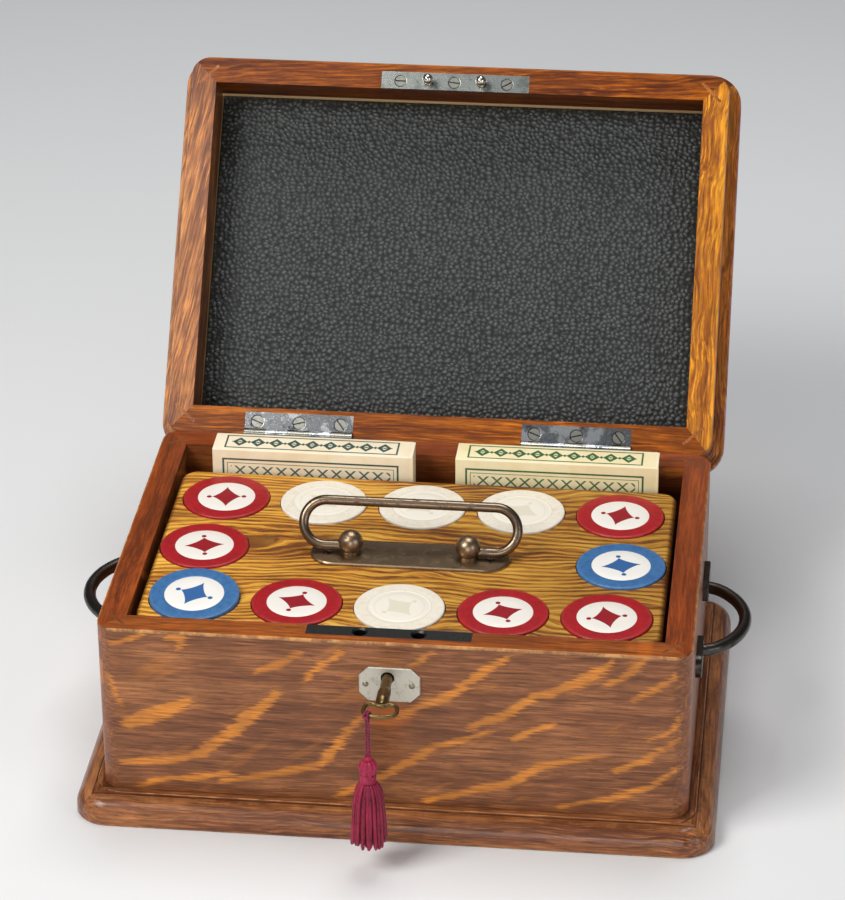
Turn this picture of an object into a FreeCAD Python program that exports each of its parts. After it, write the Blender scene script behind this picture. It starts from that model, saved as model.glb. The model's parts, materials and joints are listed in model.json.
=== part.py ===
import FreeCAD, Part
import math
import os

# Oak chip case with a hinged lid, a lift-out chip rack, two card decks,
# side handles, a lock with its key, and a silk tassel on the key.
# Units are millimetres.  Origin: centre of the case on the surface it stands on.
# X to the right, Y to the back, Z up.  The lid is modelled closed, then opened.

V = FreeCAD.Vector
os.makedirs("parts", exist_ok=True)

# ---------------------------------------------------------------- dimensions
W = 256.0            # case width over the walls
D = 182.2            # case depth over the walls
H = 93.6             # height of the parting plane between case and lid
GAP = 0.1            # each rim stands this far from the parting plane
TS = 12.15           # side wall thickness
TF = 12.25           # front wall thickness
TB = 13.7            # back wall thickness
R_CORNER = 9.0       # outer upright corner radius
R_RIM = 0.9          # worn rounding of the rim's outer edge
HB = 12.7            # base moulding height
BASE_OUT = 12.0      # how far the base stands out past the walls
BASE_STEP = 3.4      # flat step beside the wall on top of the base
BASE_R = 15.0        # base outer corner radius
LID_H = 34.0         # lid height over the parting plane
LID_OUT = 5.2        # how far the lid's top moulding stands out
LID_COVE = 14.5      # height at which the lid's cove starts
LID_EDGE = 20.5      # underside of the lid's projecting edge
LID_ROUND = 8.0      # rounding of the lid's top edge
PANEL_T = 6.0        # lid panel thickness
OPEN_DEG = 127.5     # how far the lid opens
HINGE_Y = 90.0       # hinge axis, 1.1 mm inside the back face
HINGE_Z = H
PIN_R = 1.10
KNUCKLE_R = 2.3
LEAF_T = 1.5
LEAF_L = 51.0
LEAF_Y0 = 79.4
HINGES_X = (-65.1, 65.0)
SPLINE = (12.5, 1.4) # corner spline width and thickness
PAD_Z = 24.3         # depth of the lining's face inside the lid
PAD_T = 2.1
BOARD_T = 1.6

RX0, RX1 = -113.3, 114.1    # sides of the rack
RY0, RY1 = -76.6, 56.6
RACK_FLOOR_T = 3.5
RACK_TOP = 91.6
RACK_R = 7.5
RACK_ROUND = 2.4     # rounding of the rack's top edges
WELL_R = 20.1
CHIP_R = 19.7
CHIP_T = 3.05
CHIPS = 25
PITCH_X, PITCH_Y = 44.85, 44.8
ROW_Y = -13.8
MID_X = 92.9

HX, HY = -0.8, -14.0 # centre of the rack's handle
PLATE_L, PLATE_W, PLATE_T = 88.0, 22.0, 1.4
POST_X = 26.1
BALL_R = 5.5
BALL_Z = 97.9
BAIL_R = 2.2
BAIL_Z = 95.8          # pivot line, through the lower half of the balls
BAIL_H = 20.0        # bail height between its two centre lines
BAIL_ARC = 10.0
BAIL_OUT = 47.6      # outermost centre line
BAIL_TILT = 33.0     # lean to the back as it stands

LOCK_X = -1.7
LOCK_Y0, LOCK_Y1 = -86.5, -78.9
LOCK_Z0 = 66.1
STUD_DX = 12.6
STUD_Y = -82.7
KEY_X, KEY_Z = -1.4, 76.9
KEY_R = 2.3
BOW_R = 0.9
BOLT_TRAVEL = 4.0

HAND_Z = 59.5        # side handles
HAND_A, HAND_OUT = 27.6, 20.0
HAND_CORNER, HAND_ARC = 14.0, 32.0
HAND_R = 2.8

DECK = (93.1, 15.7, 65.0)
RISER_TOP = 37.0

# ---------------------------------------------------------------- helpers
def bx(x0, x1, y0, y1, z0, z1):
    return Part.makeBox(x1 - x0, y1 - y0, z1 - z0, V(x0, y0, z0))

def cyl(p, d, r, h):
    return Part.makeCylinder(r, h, V(*p), V(*d))

def rprism(x0, x1, y0, y1, r, z0, z1):
    b = bx(x0, x1, y0, y1, z0, z1)
    up = [e for e in b.Edges
          if abs(e.Vertexes[0].Z - e.Vertexes[-1].Z) > 0.5 * (z1 - z0)]
    return b.makeFillet(r, up)

def loop_edges(s, z, tol=1e-4):
    return [e for e in s.Edges
            if abs(e.BoundBox.ZMin - z) < tol and abs(e.BoundBox.ZMax - z) < tol]

def prism(pts, z0, z1):
    w = Part.makePolygon([V(x, y, z0) for x, y in pts] + [V(pts[0][0], pts[0][1], z0)])
    return Part.Face(w).extrude(V(0, 0, z1 - z0))

def yz_prism(pts, x0, x1):
    w = Part.makePolygon([V(x0, y, z) for y, z in pts] + [V(x0, pts[0][0], pts[0][1])])
    return Part.Face(w).extrude(V(x1 - x0, 0, 0))

def fuse(items):
    s = items[0]
    if len(items) > 1:
        s = s.fuse(items[1:])
    return s.removeSplitter()

def solids(shape):
    return Part.makeCompound(shape.Solids)

def screw(p, d, head_r, shank_r, length, slot_dir, slot=True):
    """Countersunk slotted wood screw: p is the head's centre, d points into the wood."""
    d = V(*d)
    hh = head_r - shank_r
    rim = 0.25
    s = Part.makeCylinder(head_r, rim, V(*p), d)
    s = s.fuse(Part.makeCone(head_r, shank_r, hh, V(*p) + d * rim, d))
    s = s.fuse(Part.makeCylinder(shank_r, length - rim - hh - 1.6, V(*p) + d * (rim + hh), d))
    s = s.fuse(Part.makeCone(shank_r, 0.25, 1.6, V(*p) + d * (length - 1.6), d))
    s = s.removeSplitter()
    if slot:
        sd = V(*slot_dir); sd.normalize()
        t = d.cross(sd)
        c = V(*p)
        h = 0.55
        a = c + sd * (head_r + 1) + t * 0.3 - d * 0.5
        b = c + sd * (head_r + 1) - t * 0.3 - d * 0.5
        e = c - sd * (head_r + 1) - t * 0.3 - d * 0.5
        f = c - sd * (head_r + 1) + t * 0.3 - d * 0.5
        face = Part.Face(Part.makePolygon([a, b, e, f, a]))
        s = s.cut(face.extrude(d * (0.5 + h)))
    return s

NODES = {}
LID = set()

def put(name, shape, lid=False):
    NODES[name] = shape
    if lid:
        LID.add(name)

# inside corners of the case and the four mitre planes
XI = W / 2 - TS
YF = -D / 2 + TF
YB = D / 2 - TB

def ext(cx, cy, ix, iy, k):
    return (cx + (cx - ix) * k, cy + (cy - iy) * k)

def regions(z0, z1):
    k = 2.0
    c = {
        "fl": ((-W / 2, -D / 2), (-XI, YF)),
        "fr": ((W / 2, -D / 2), (XI, YF)),
        "bl": ((-W / 2, D / 2), (-XI, YB)),
        "br": ((W / 2, D / 2), (XI, YB)),
    }
    e = {n: ext(o[0], o[1], i[0], i[1], k) for n, (o, i) in c.items()}
    i = {n: p[1] for n, p in c.items()}
    return {
        "front": prism([e["fl"], e["fr"], i["fr"], i["fl"]], z0, z1),
        "back": prism([e["br"], e["bl"], i["bl"], i["br"]], z0, z1),
        "left": prism([e["bl"], e["fl"], i["fl"], i["bl"]], z0, z1),
        "right": prism([e["fr"], e["br"], i["br"], i["fr"]], z0, z1),
    }

# ---------------------------------------------------------------- base
foot = rprism(-W / 2 - BASE_OUT, W / 2 + BASE_OUT, -D / 2 - BASE_OUT, D / 2 + BASE_OUT,
              BASE_R, 0, HB - 0.9)
foot = foot.makeFillet(7.9, loop_edges(foot, HB - 0.9))
foot = foot.makeFillet(1.0, loop_edges(foot, 0))
step = rprism(-W / 2 - BASE_STEP, W / 2 + BASE_STEP, -D / 2 - BASE_STEP, D / 2 + BASE_STEP,
              R_CORNER + BASE_STEP, 0.5, HB)
step = step.makeFillet(0.4, loop_edges(step, HB))
base = foot.fuse(step).removeSplitter()
base = base.cut(bx(-XI, XI, YF, YB, -1, HB + 1))
reg = regions(-1, HB + 1)
put("base_mouldings", Part.makeCompound(
    [base.common(reg[k]).Solids[0] for k in ("front", "back", "left", "right")]))
put("bottom_panel", bx(-XI + 0.05, XI - 0.05, YF + 0.05, YB - 0.05, 0, HB))

# ---------------------------------------------------------------- case walls
case = rprism(-W / 2, W / 2, -D / 2, D / 2, R_CORNER, HB, H - GAP)
case = case.makeFillet(R_RIM, loop_edges(case, H - GAP))
case = case.cut(bx(-XI, XI, YF, YB, HB - 1, H + 1))

# lid, closed: walls, cove, projecting edge with a rounded top
LO = LID_OUT
Z0 = H + GAP
lid = rprism(-W / 2, W / 2, -D / 2, D / 2, R_CORNER, Z0, H + LID_EDGE + 6)
lid = lid.makeFillet(R_RIM, loop_edges(lid, Z0))
edge = rprism(-W / 2 - LO, W / 2 + LO, -D / 2 - LO, D / 2 + LO, R_CORNER + LO,
              H + LID_EDGE, H + LID_H)
edge = edge.makeFillet(LID_ROUND, loop_edges(edge, H + LID_H))
edge = edge.makeFillet(0.8, loop_edges(edge, H + LID_EDGE))
# cove under the projecting edge: three stepped rounds that read as one hollow
cove = []
for out, z in ((1.1, LID_COVE + 1.6), (2.2, LID_COVE + 3.2), (3.4, LID_COVE + 4.6)):
    c = rprism(-W / 2 - out, W / 2 + out, -D / 2 - out, D / 2 + out, R_CORNER + out,
               H + z, H + LID_EDGE + 1)
    cove.append(c.makeFillet(min(0.9, out * 0.8), loop_edges(c, H + z)))
lid = fuse([lid, edge] + cove)
lid = lid.cut(bx(-XI, XI, YF, YB, Z0 - 2, H + LID_H + 1))
# rebate for the panel
PX, PY0, PY1 = XI + 5.2, YF - 5.2, YB + 5.2
lid = lid.cut(bx(-PX, PX, PY0, PY1, H + LID_H - PANEL_T, H + LID_H + 1))

# stop chamfers: the two back edges meet when the lid is fully open
half = math.radians(OPEN_DEG / 2)
out_y = D / 2 + 12
dz = (out_y - HINGE_Y) * math.tan(half)
eps = 0.03
case = case.cut(yz_prism([(HINGE_Y - eps, HINGE_Z + 0.5), (HINGE_Y - eps, HINGE_Z),
                          (out_y, HINGE_Z - dz), (out_y, HINGE_Z + 0.5)], -W, W))
lid = lid.cut(yz_prism([(HINGE_Y - eps, HINGE_Z - 0.5), (HINGE_Y - eps, HINGE_Z),
                        (D / 2 + 1.2, HINGE_Z + (D / 2 + 1.2 - HINGE_Y) * math.tan(half)),
                        (D / 2 + 1.2, HINGE_Z - 0.5)], -W, W))

# ---------------------------------------------------------------- hinges
lid_leaves, case_leaves, pins, lid_screws, case_screws = [], [], [], [], []
for hx in HINGES_X:
    x0, x1 = hx - LEAF_L / 2, hx + LEAF_L / 2
    seg = LEAF_L / 5
    bore = cyl((x0 - 1, HINGE_Y, HINGE_Z), (1, 0, 0), PIN_R + 0.04, LEAF_L + 2)
    ll = [bx(x0, x1, LEAF_Y0, HINGE_Y - KNUCKLE_R - 0.4, Z0, Z0 + LEAF_T)]
    cl = [bx(x0, x1, LEAF_Y0, HINGE_Y - KNUCKLE_R - 0.4, H - GAP - LEAF_T, H - GAP)]
    for i in range(5):
        a, b = x0 + i * seg + 0.06, x0 + (i + 1) * seg - 0.06
        k = cyl((a, HINGE_Y, HINGE_Z), (1, 0, 0), KNUCKLE_R, b - a)
        if i % 2:
            ll += [k, bx(a, b, HINGE_Y - KNUCKLE_R - 0.5, HINGE_Y, Z0, Z0 + LEAF_T)]
        else:
            cl += [k, bx(a, b, HINGE_Y - KNUCKLE_R - 0.5, HINGE_Y, H - GAP - LEAF_T, H - GAP)]
    ll = fuse(ll).cut(bore)
    cl = fuse(cl).cut(bore)
    pins.append(cyl((x0, HINGE_Y, HINGE_Z), (1, 0, 0), PIN_R, LEAF_L))
    # mortises for the leaves and the knuckle
    notch = cyl((x0 - 0.3, HINGE_Y, HINGE_Z), (1, 0, 0), KNUCKLE_R + 0.3, LEAF_L + 0.6)
    lid = lid.cut(bx(x0, x1, LEAF_Y0, HINGE_Y - 1.5, Z0 - 1, Z0 + LEAF_T)).cut(notch)
    case = case.cut(bx(x0, x1, LEAF_Y0, HINGE_Y - 1.5, H - GAP - LEAF_T, H + 1)).cut(notch)
    for dx in (-19.6, 0.1, 19.6):
        ang = {-19.6: 0.35, 0.1: -0.25, 19.6: 0.9}[dx]
        sx, sy = hx + dx, 83.9
        sl = (math.cos(ang), math.sin(ang), 0)
        full = screw((sx, sy, Z0), (0, 0, 1), 2.7, 1.3, 11, sl, False)
        lid_screws.append(screw((sx, sy, Z0), (0, 0, 1), 2.7, 1.3, 11, sl))
        ll, lid = ll.cut(full), lid.cut(full)
        full = screw((sx, sy, H - GAP), (0, 0, -1), 2.7, 1.3, 12, sl, False)
        case_screws.append(screw((sx, sy, H - GAP), (0, 0, -1), 2.7, 1.3, 12, sl))
        cl, case = cl.cut(full), case.cut(full)
    lid_leaves.append(ll)
    case_leaves.append(cl)
put("hinge_lid_leaves", Part.makeCompound(lid_leaves), True)
put("hinge_case_leaves", Part.makeCompound(case_leaves))
put("hinge_pins", Part.makeCompound(pins))

# ---------------------------------------------------------------- strike plate
SX0, SX1 = LOCK_X - 35.1, LOCK_X + 35.1
SY0, SY1 = -87.2, -78.9
strike = bx(SX0, SX1, SY0, SY1, Z0, Z0 + 1.5)
lid = lid.cut(bx(SX0, SX1, SY0, SY1 + 1, Z0 - 1, Z0 + 1.5))
studs = []
for i, sx in enumerate((LOCK_X - STUD_DX, LOCK_X + STUD_DX)):
    s = fuse([cyl((sx, STUD_Y, Z0 + 4), (0, 0, -1), 1.2, 10.0),
              cyl((sx, STUD_Y, Z0 + 3), (0, 0, -1), 1.8, 3.3),
              Part.makeSphere(2.4, V(sx, STUD_Y, H - 5.9))])
    studs.append(s)
    strike = strike.cut(s)
    lid = lid.cut(s)
for dx, ang in ((-26.0, 0.0), (-0.4, 0.12), (24.6, -0.5)):
    sl = (math.cos(ang), math.sin(ang), 0)
    full = screw((LOCK_X + dx, STUD_Y, Z0), (0, 0, 1), 2.5, 1.2, 10, sl, False)
    lid_screws.append(screw((LOCK_X + dx, STUD_Y, Z0), (0, 0, 1), 2.5, 1.2, 10, sl))
    strike, lid = strike.cut(full), lid.cut(full)
put("strike_plate", strike, True)
put("strike_studs", Part.makeCompound(studs), True)
put("lid_screws", Part.makeCompound(lid_screws), True)

# ---------------------------------------------------------------- lock
LX0, LX1 = LOCK_X - 35.6, LOCK_X + 35.6
ZT = H - GAP
case = case.cut(bx(LX0, LX1, LOCK_Y0, LOCK_Y1 + 2, LOCK_Z0, ZT + 1))
selv = bx(LX0, LX1, LOCK_Y0, LOCK_Y1, ZT - 1.6, ZT)
for sx in (LOCK_X - STUD_DX, LOCK_X + STUD_DX):
    selv = selv.cut(cyl((sx, STUD_Y, ZT + 1), (0, 0, -1), 2.75, 4))
    selv = selv.cut(Part.makeCone(3.5, 2.75, 0.75, V(sx, STUD_Y, ZT), V(0, 0, -1)))
put("lock_selvedge", selv)
body = bx(LX0, LX1, LOCK_Y0, LOCK_Y1, LOCK_Z0, ZT - 1.6)
body = body.cut(bx(LX0 + 1.2, LX1 - 1.2, LOCK_Y0 + 1.0, LOCK_Y1 - 1.0, LOCK_Z0 + 1.2, ZT))
key_slot = bx(KEY_X - 1.4, KEY_X + 1.4, -93.5, LOCK_Y0 + 1.05, KEY_Z - 8.2, KEY_Z)
body = body.cut(cyl((KEY_X, -93.5, KEY_Z), (0, 1, 0), KEY_R + 0.06, 8.5))
body = body.cut(key_slot)
for sx in (LX0 + 6, LX1 - 6):
    full = screw((sx, LOCK_Y1, LOCK_Z0 + 5), (0, -1, 0), 2.2, 1.1, 11.2, (1, 0.3, 0), False)
    case_screws.append(screw((sx, LOCK_Y1, LOCK_Z0 + 5), (0, -1, 0), 2.2, 1.1, 11.2, (1, 0, 0.3)))
    body, case = body.cut(full), case.cut(full)
put("lock_case", body)
put("case_screws", Part.makeCompound(case_screws))
case = case.cut(cyl((KEY_X, -93.5, KEY_Z), (0, 1, 0), 2.9, 9)).cut(key_slot)
# sliding bolt: a bar with a notch for the key and two forks that take the studs' necks
yb0, yb1 = -84.0, -81.4
bolt = [bx(LOCK_X - 27.5, LOCK_X + 22.5, yb0, yb1, 67.5, 74.1)]
for sx in (LOCK_X - STUD_DX, LOCK_X + STUD_DX):
    bolt.append(bx(sx - 8.4, sx - 6.6, yb0, yb1, 74.0, 90.95))
    bolt.append(bx(sx - 8.4, sx - 2.7, STUD_Y - 2.6, STUD_Y + 2.6, 89.75, 90.95))
bolt = fuse(bolt)
for sx in (LOCK_X - STUD_DX, LOCK_X + STUD_DX):
    bolt = bolt.cut(bx(sx - 6.4, sx, STUD_Y - 1.45, STUD_Y + 1.45, 88, 92))
bolt = bolt.cut(bx(KEY_X - 9.4, KEY_X - 2.3, yb0 - 1, yb1 + 1, 69.2, 75))
put("lock_bolt", bolt)

# escutcheon on the front, with its two pins
EX0, EX1, EZ0, EZ1 = -13.8, 12.6, 65.1, 81.8
cf = 4.1
YO = -D / 2
pts = [(EX0 + cf, EZ0), (EX1 - cf, EZ0), (EX1, EZ0 + cf), (EX1, EZ1 - cf),
       (EX1 - cf, EZ1), (EX0 + cf, EZ1), (EX0, EZ1 - cf), (EX0, EZ0 + cf)]
wire = Part.makePolygon([V(x, YO, z) for x, z in pts] + [V(pts[0][0], YO, pts[0][1])])
esc = Part.Face(wire).extrude(V(0, -1.2, 0))
front_edges = [e for e in esc.Edges
               if abs(e.BoundBox.YMin - (YO - 1.2)) < 1e-4 and abs(e.BoundBox.YMax - (YO - 1.2)) < 1e-4]
esc = esc.makeChamfer(0.3, front_edges)
esc = esc.cut(cyl((KEY_X, -93.5, KEY_Z), (0, 1, 0), 2.95, 4))
esc = esc.cut(bx(KEY_X - 1.4, KEY_X + 1.4, -93.5, YO + 1, KEY_Z - 8.4, KEY_Z))
epins = []
for px in (-10.9, 9.0):
    p = cyl((px, YO - 1.2, 73.4), (0, 1, 0), 0.8, 5.5)
    head = Part.makeSphere(1.75, V(px, YO - 0.1, 73.4)).common(
        bx(px - 3, px + 3, YO - 4, YO - 1.2, 70, 77))
    epins.append(p.fuse(head).removeSplitter())
    esc = esc.cut(p)
    case = case.cut(p)
put("escutcheon", esc)
put("escutcheon_pins", Part.makeCompound(epins))

# ---------------------------------------------------------------- key
shaft = cyl((KEY_X, -80.4, KEY_Z), (0, -1, 0), KEY_R, 21.6)
swell = Part.makeCone(KEY_R, 2.8, 2.2, V(KEY_X, -102.0, KEY_Z), V(0, -1, 0))
stem = cyl((KEY_X, -104.2, KEY_Z), (0, -1, 0), 2.8, 6.6)
taper = Part.makeCone(2.8, 1.5, 3.6, V(KEY_X, -110.8, KEY_Z), V(0, -1, 0))
bit = bx(KEY_X - 7.0, KEY_X - 0.5, -84.5, -81.1, KEY_Z - 1.1, KEY_Z + 1.1)
bit = bit.cut(bx(KEY_X - 7.5, KEY_X - 4.8, -83.2, -82.4, KEY_Z - 2, KEY_Z + 2))
# kidney-shaped bow: a ring of tangent arcs in the horizontal plane
# (u across the key, v out from the lock); each circle is (u, v, radius)
B_FRONT = (0.0, 111.45, 12.0)
B_CORNER = (3.3, 118.96, 3.8)
B_LOBE = (4.0, 116.4, 3.0)
B_WAIST = (0.0, 111.82, 3.081)

def bow(u, v):
    return V(KEY_X + u, -v, KEY_Z)

def on(c, a):
    return c[0] + c[2] * math.cos(math.radians(a)), c[1] + c[2] * math.sin(math.radians(a))

def towards(c, d):
    return math.degrees(math.atan2(d[1] - c[1], d[0] - c[0]))

du, dv = B_LOBE[0] - B_CORNER[0], B_LOBE[1] - B_CORNER[1]
dd = math.hypot(du, dv)
side = math.degrees(math.atan2(dv, du)) + math.degrees(
    math.acos((B_CORNER[2] - B_LOBE[2]) / dd))         # normal of the line that joins them
a_front = towards(B_FRONT, B_CORNER)
a_waist = towards(B_WAIST, B_LOBE)
spans = []                                             # (centre circle, from, to, side)
for m in (1, -1):
    spans.append((B_CORNER, a_front, side, m))
    spans.append((B_LOBE, side, a_waist - 180, m))
curves = []
for c, a0, a1, m in spans:
    pts = [on(c, a) for a in (a0, 0.5 * (a0 + a1), a1)]
    curves.append(Part.Arc(*[bow(m * u, v) for u, v in pts]).toShape())
for m in (1, -1):
    p, q = on(B_CORNER, side), on(B_LOBE, side)
    curves.append(Part.makeLine(bow(m * p[0], p[1]), bow(m * q[0], q[1])))
for c, a0 in ((B_FRONT, a_front), (B_WAIST, a_waist)):
    pts = [on(c, a) for a in (a0, 90, 180 - a0)]
    curves.append(Part.Arc(*[bow(u, v) for u, v in pts]).toShape())
ring = None
for e in curves:
    st, tg = e.valueAt(e.FirstParameter), e.tangentAt(e.FirstParameter)
    piece = Part.Wire([e]).makePipeShell([Part.Wire([Part.makeCircle(BOW_R, st, tg)])], True, False)
    ring = piece if ring is None else ring.fuse(piece)
key = ring.fuse([shaft, swell, stem, taper, bit]).removeSplitter()
put("key", key)

# ---------------------------------------------------------------- tassel
# knot round the bow, centred on its wire, so that turning about Y leaves it in place
HU = -4.9
HV = B_FRONT[1] + math.sqrt(B_FRONT[2] ** 2 - HU ** 2)
HITCH = bow(HU, HV)
TURN_R, TURN_W = 1.62, 0.5               # two turns of silk round the wire
along = V(-(HITCH.y + B_FRONT[1]), HITCH.x - KEY_X, 0)
along.normalize()
put("tassel_hitch", Part.makeCompound([
    Part.makeTorus(TURN_R, TURN_W, HITCH + along * d, along) for d in (-0.54, 0.54)]))
TX, TY = HITCH.x, HITCH.y - 0.7          # the tassel hangs just in front of the wire
CORD_R = 0.47
HEAD_TOP, HEAD_BOT, SKIRT_BOT = 56.8, 43.6, 11.6
# one silk cord: down from the knot, round inside the head, and up again (x, z)
ROUTE = [(-0.56, 74.62), (-0.56, 55.9), (-1.2, 52.6), (-0.68, 51.3),
         (0.68, 51.3), (1.2, 52.6), (0.56, 55.9), (0.56, 74.62)]
route = [V(TX + x, TY, z) for x, z in ROUTE]
edges, at, radii = [], route[0], []
for i in range(1, len(route) - 1):
    a, b, c = route[i - 1], route[i], route[i + 1]
    d0, d1 = (b - a), (c - b)
    l0, l1 = d0.Length, d1.Length
    d0.normalize(); d1.normalize()
    turn = d0.getAngle(d1)
    cut = 0.45 * min(l0, l1)
    radii.append(cut / math.tan(turn / 2))
    p, q = b - d0 * cut, b + d1 * cut
    n = (d1 - d0); n.normalize()
    centre = b + n * (radii[-1] / math.cos(turn / 2))
    mid = centre - n * radii[-1]
    edges.append(Part.makeLine(at, p))
    edges.append(Part.Arc(p, mid, q).toShape())
    at = q
edges.append(Part.makeLine(at, route[-1]))
w = Part.Wire(edges)
cord = w.makePipeShell([Part.Wire([Part.makeCircle(CORD_R, route[0], V(0, 0, 1))])], True, False)
print("tassel cord radii mm", [round(x, 2) for x in radii], "length", round(w.Length, 2),
      "volume", round(cord.Volume, 2), "section x length", round(math.pi * CORD_R ** 2 * w.Length, 2))
put("tassel_cord", cord)
# head: small top knot, round knob and binding band, bored for the cord
prof = [(0, HEAD_TOP), (1.75, HEAD_TOP), (1.9, HEAD_TOP - 1.6), (3.3, HEAD_TOP - 2.6),
        (4.0, HEAD_TOP - 5.0), (3.9, HEAD_TOP - 7.6), (3.3, HEAD_TOP - 8.2), (3.4, HEAD_BOT),
        (0, HEAD_BOT)]
head = Part.Face(Part.makePolygon([V(TX + r, TY, z) for r, z in prof] +
                                  [V(TX, TY, HEAD_TOP)])).revolve(V(TX, TY, 0), V(0, 0, 1), 360)
prof = [(0, HEAD_TOP + 1), (1.2, HEAD_TOP + 1), (1.2, 55.6), (1.95, 53.2), (1.95, 50.4), (0, 50.4)]
bore = Part.Face(Part.makePolygon([V(TX + r, TY, z) for r, z in prof] +
                                  [V(TX, TY, HEAD_TOP + 1)])).revolve(V(TX, TY, 0), V(0, 0, 1), 360)
put("tassel_head", head.cut(bore))
prof = [(0, HEAD_BOT), (3.4, HEAD_BOT), (5.6, HEAD_BOT - 4), (6.6, HEAD_BOT - 13),
        (8.0, SKIRT_BOT), (0, SKIRT_BOT)]
put("tassel_skirt", Part.Face(Part.makePolygon([V(TX + r, TY, z) for r, z in prof] +
                                               [V(TX, TY, HEAD_BOT)])).revolve(
    V(TX, TY, 0), V(0, 0, 1), 360))

# ---------------------------------------------------------------- corner splines
def spline_box(cx, cy, ix, iy, z0, z1):
    """A tongue across the mitre, near the inner corner."""
    dx, dy = cx - ix, cy - iy
    n = math.hypot(dx, dy)
    dx, dy = dx / n, dy / n
    mx, my = ix + dx * 5.2, iy + dy * 5.2
    tx, ty = -dy, dx
    a, b = SPLINE[0] / 2, SPLINE[1] / 2
    pts = [(mx + tx * a + dx * b, my + ty * a + dy * b), (mx - tx * a + dx * b, my - ty * a + dy * b),
           (mx - tx * a - dx * b, my - ty * a - dy * b), (mx + tx * a - dx * b, my + ty * a - dy * b)]
    return prism(pts, z0, z1)

corners = [(-W / 2, -D / 2, -XI, YF), (W / 2, -D / 2, XI, YF),
           (-W / 2, D / 2, -XI, YB), (W / 2, D / 2, XI, YB)]
cs = [spline_box(*c, HB, ZT) for c in corners]
ls = [spline_box(*c, Z0, H + LID_H - PANEL_T) for c in corners]
case = case.cut(cs)
lid = lid.cut(ls)
put("case_corner_splines", Part.makeCompound(cs))
put("lid_corner_splines", Part.makeCompound(ls), True)

# ---------------------------------------------------------------- side handles
grips, hscrews = {}, []
for name, s in (("right", 1), ("left", -1)):
    xw = s * W / 2
    # D-shaped grip: out from one foot, round, along the wall and back in
    Q = lambda o, y: V(xw + s * o, y, HAND_Z)
    oc, yc = HAND_OUT - HAND_ARC, HAND_A - HAND_CORNER
    ok = oc + math.sqrt((HAND_ARC - HAND_CORNER) ** 2 - yc ** 2)
    o0 = -1.5
    # directions from the corner's centre: out of the wall's leg, and towards the wide arc
    a1 = math.atan2(yc, ok - oc)
    am = 0.5 * (math.pi / 2 + a1)
    C = lambda a, t: Q(ok + HAND_CORNER * math.cos(a), t * (yc + HAND_CORNER * math.sin(a)))
    w = Part.Wire([
        Part.makeLine(Q(o0, HAND_A), C(math.pi / 2, 1)),
        Part.Arc(C(math.pi / 2, 1), C(am, 1), C(a1, 1)).toShape(),
        Part.Arc(C(a1, 1), Q(HAND_OUT, 0), C(a1, -1)).toShape(),
        Part.Arc(C(a1, -1), C(am, -1), C(math.pi / 2, -1)).toShape(),
        Part.makeLine(C(math.pi / 2, -1), Q(o0, -HAND_A)),
    ])
    rod = w.makePipeShell([Part.Wire([Part.makeCircle(HAND_R, Q(o0, HAND_A), V(s, 0, 0))])], True, False)
    parts = [rod]
    for t in (1, -1):
        yA, yB = t * (HAND_A - 3.4), t * (HAND_A + 18.0)
        y0, y1 = min(yA, yB), max(yA, yB)
        plate = bx(min(xw, xw + s * 2.7), max(xw, xw + s * 2.7), y0, y1, HAND_Z - 5.5, HAND_Z + 5.5)
        up = [ed for ed in plate.Edges if ed.BoundBox.XLength > 2.0]
        plate = plate.makeFillet(5.2, [ed for ed in up if (ed.BoundBox.YMin - (yB)) * t > -0.1])
        face_edges = [ed for ed in plate.Edges
                      if abs(ed.BoundBox.XMin - (xw + s * 2.7)) < 1e-4 and abs(ed.BoundBox.XMax - (xw + s * 2.7)) < 1e-4]
        plate = plate.makeFillet(0.6, face_edges)
        parts.append(plate)
        full = screw((xw + s * 2.7, t * (HAND_A + 10.5), HAND_Z), (-s, 0, 0), 2.6, 1.4, 12,
                     (0, 1, 0.4), False)
        hscrews.append(screw((xw + s * 2.7, t * (HAND_A + 10.5), HAND_Z), (-s, 0, 0), 2.6, 1.4, 12,
                             (0, 1, 0.4)))
        parts.append(("cut", full))
        case = case.cut(full)
    cuts = [p[1] for p in parts if isinstance(p, tuple)]
    body = fuse([p for p in parts if not isinstance(p, tuple)])
    for cc in cuts:
        body = body.cut(cc)
    # flat back against the wall
    big = bx(-W / 2, W / 2, -80, 80, 0, 120)
    body = body.cut(big)
    grips[name] = body
put("side_handle_left", grips["left"])
put("side_handle_right", grips["right"])
put("side_handle_screws", Part.makeCompound(hscrews))

# ---------------------------------------------------------------- split the walls
reg = regions(HB - 2, H + LID_H + 4)
for k in ("front", "back", "left", "right"):
    put("case_%s_wall" % k, solids(case.common(reg[k])))
    put("lid_%s_rail" % k, solids(lid.common(reg[k])), True)

# ---------------------------------------------------------------- lid panel, board, pad
ZP = H + LID_H
panel = bx(-PX + 0.05, PX - 0.05, PY0 + 0.05, PY1 - 0.05, ZP - PANEL_T, ZP)
put("lid_top_panel", panel, True)
put("lid_lining_board", bx(-XI + 0.1, XI - 0.1, YF + 0.1, YB - 0.1,
                           H + PAD_Z + PAD_T, ZP - PANEL_T), True)
put("lid_leather_pad", bx(-XI + 0.25, XI - 0.25, YF + 0.25, YB - 0.25,
                          H + PAD_Z, H + PAD_Z + PAD_T), True)

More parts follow.
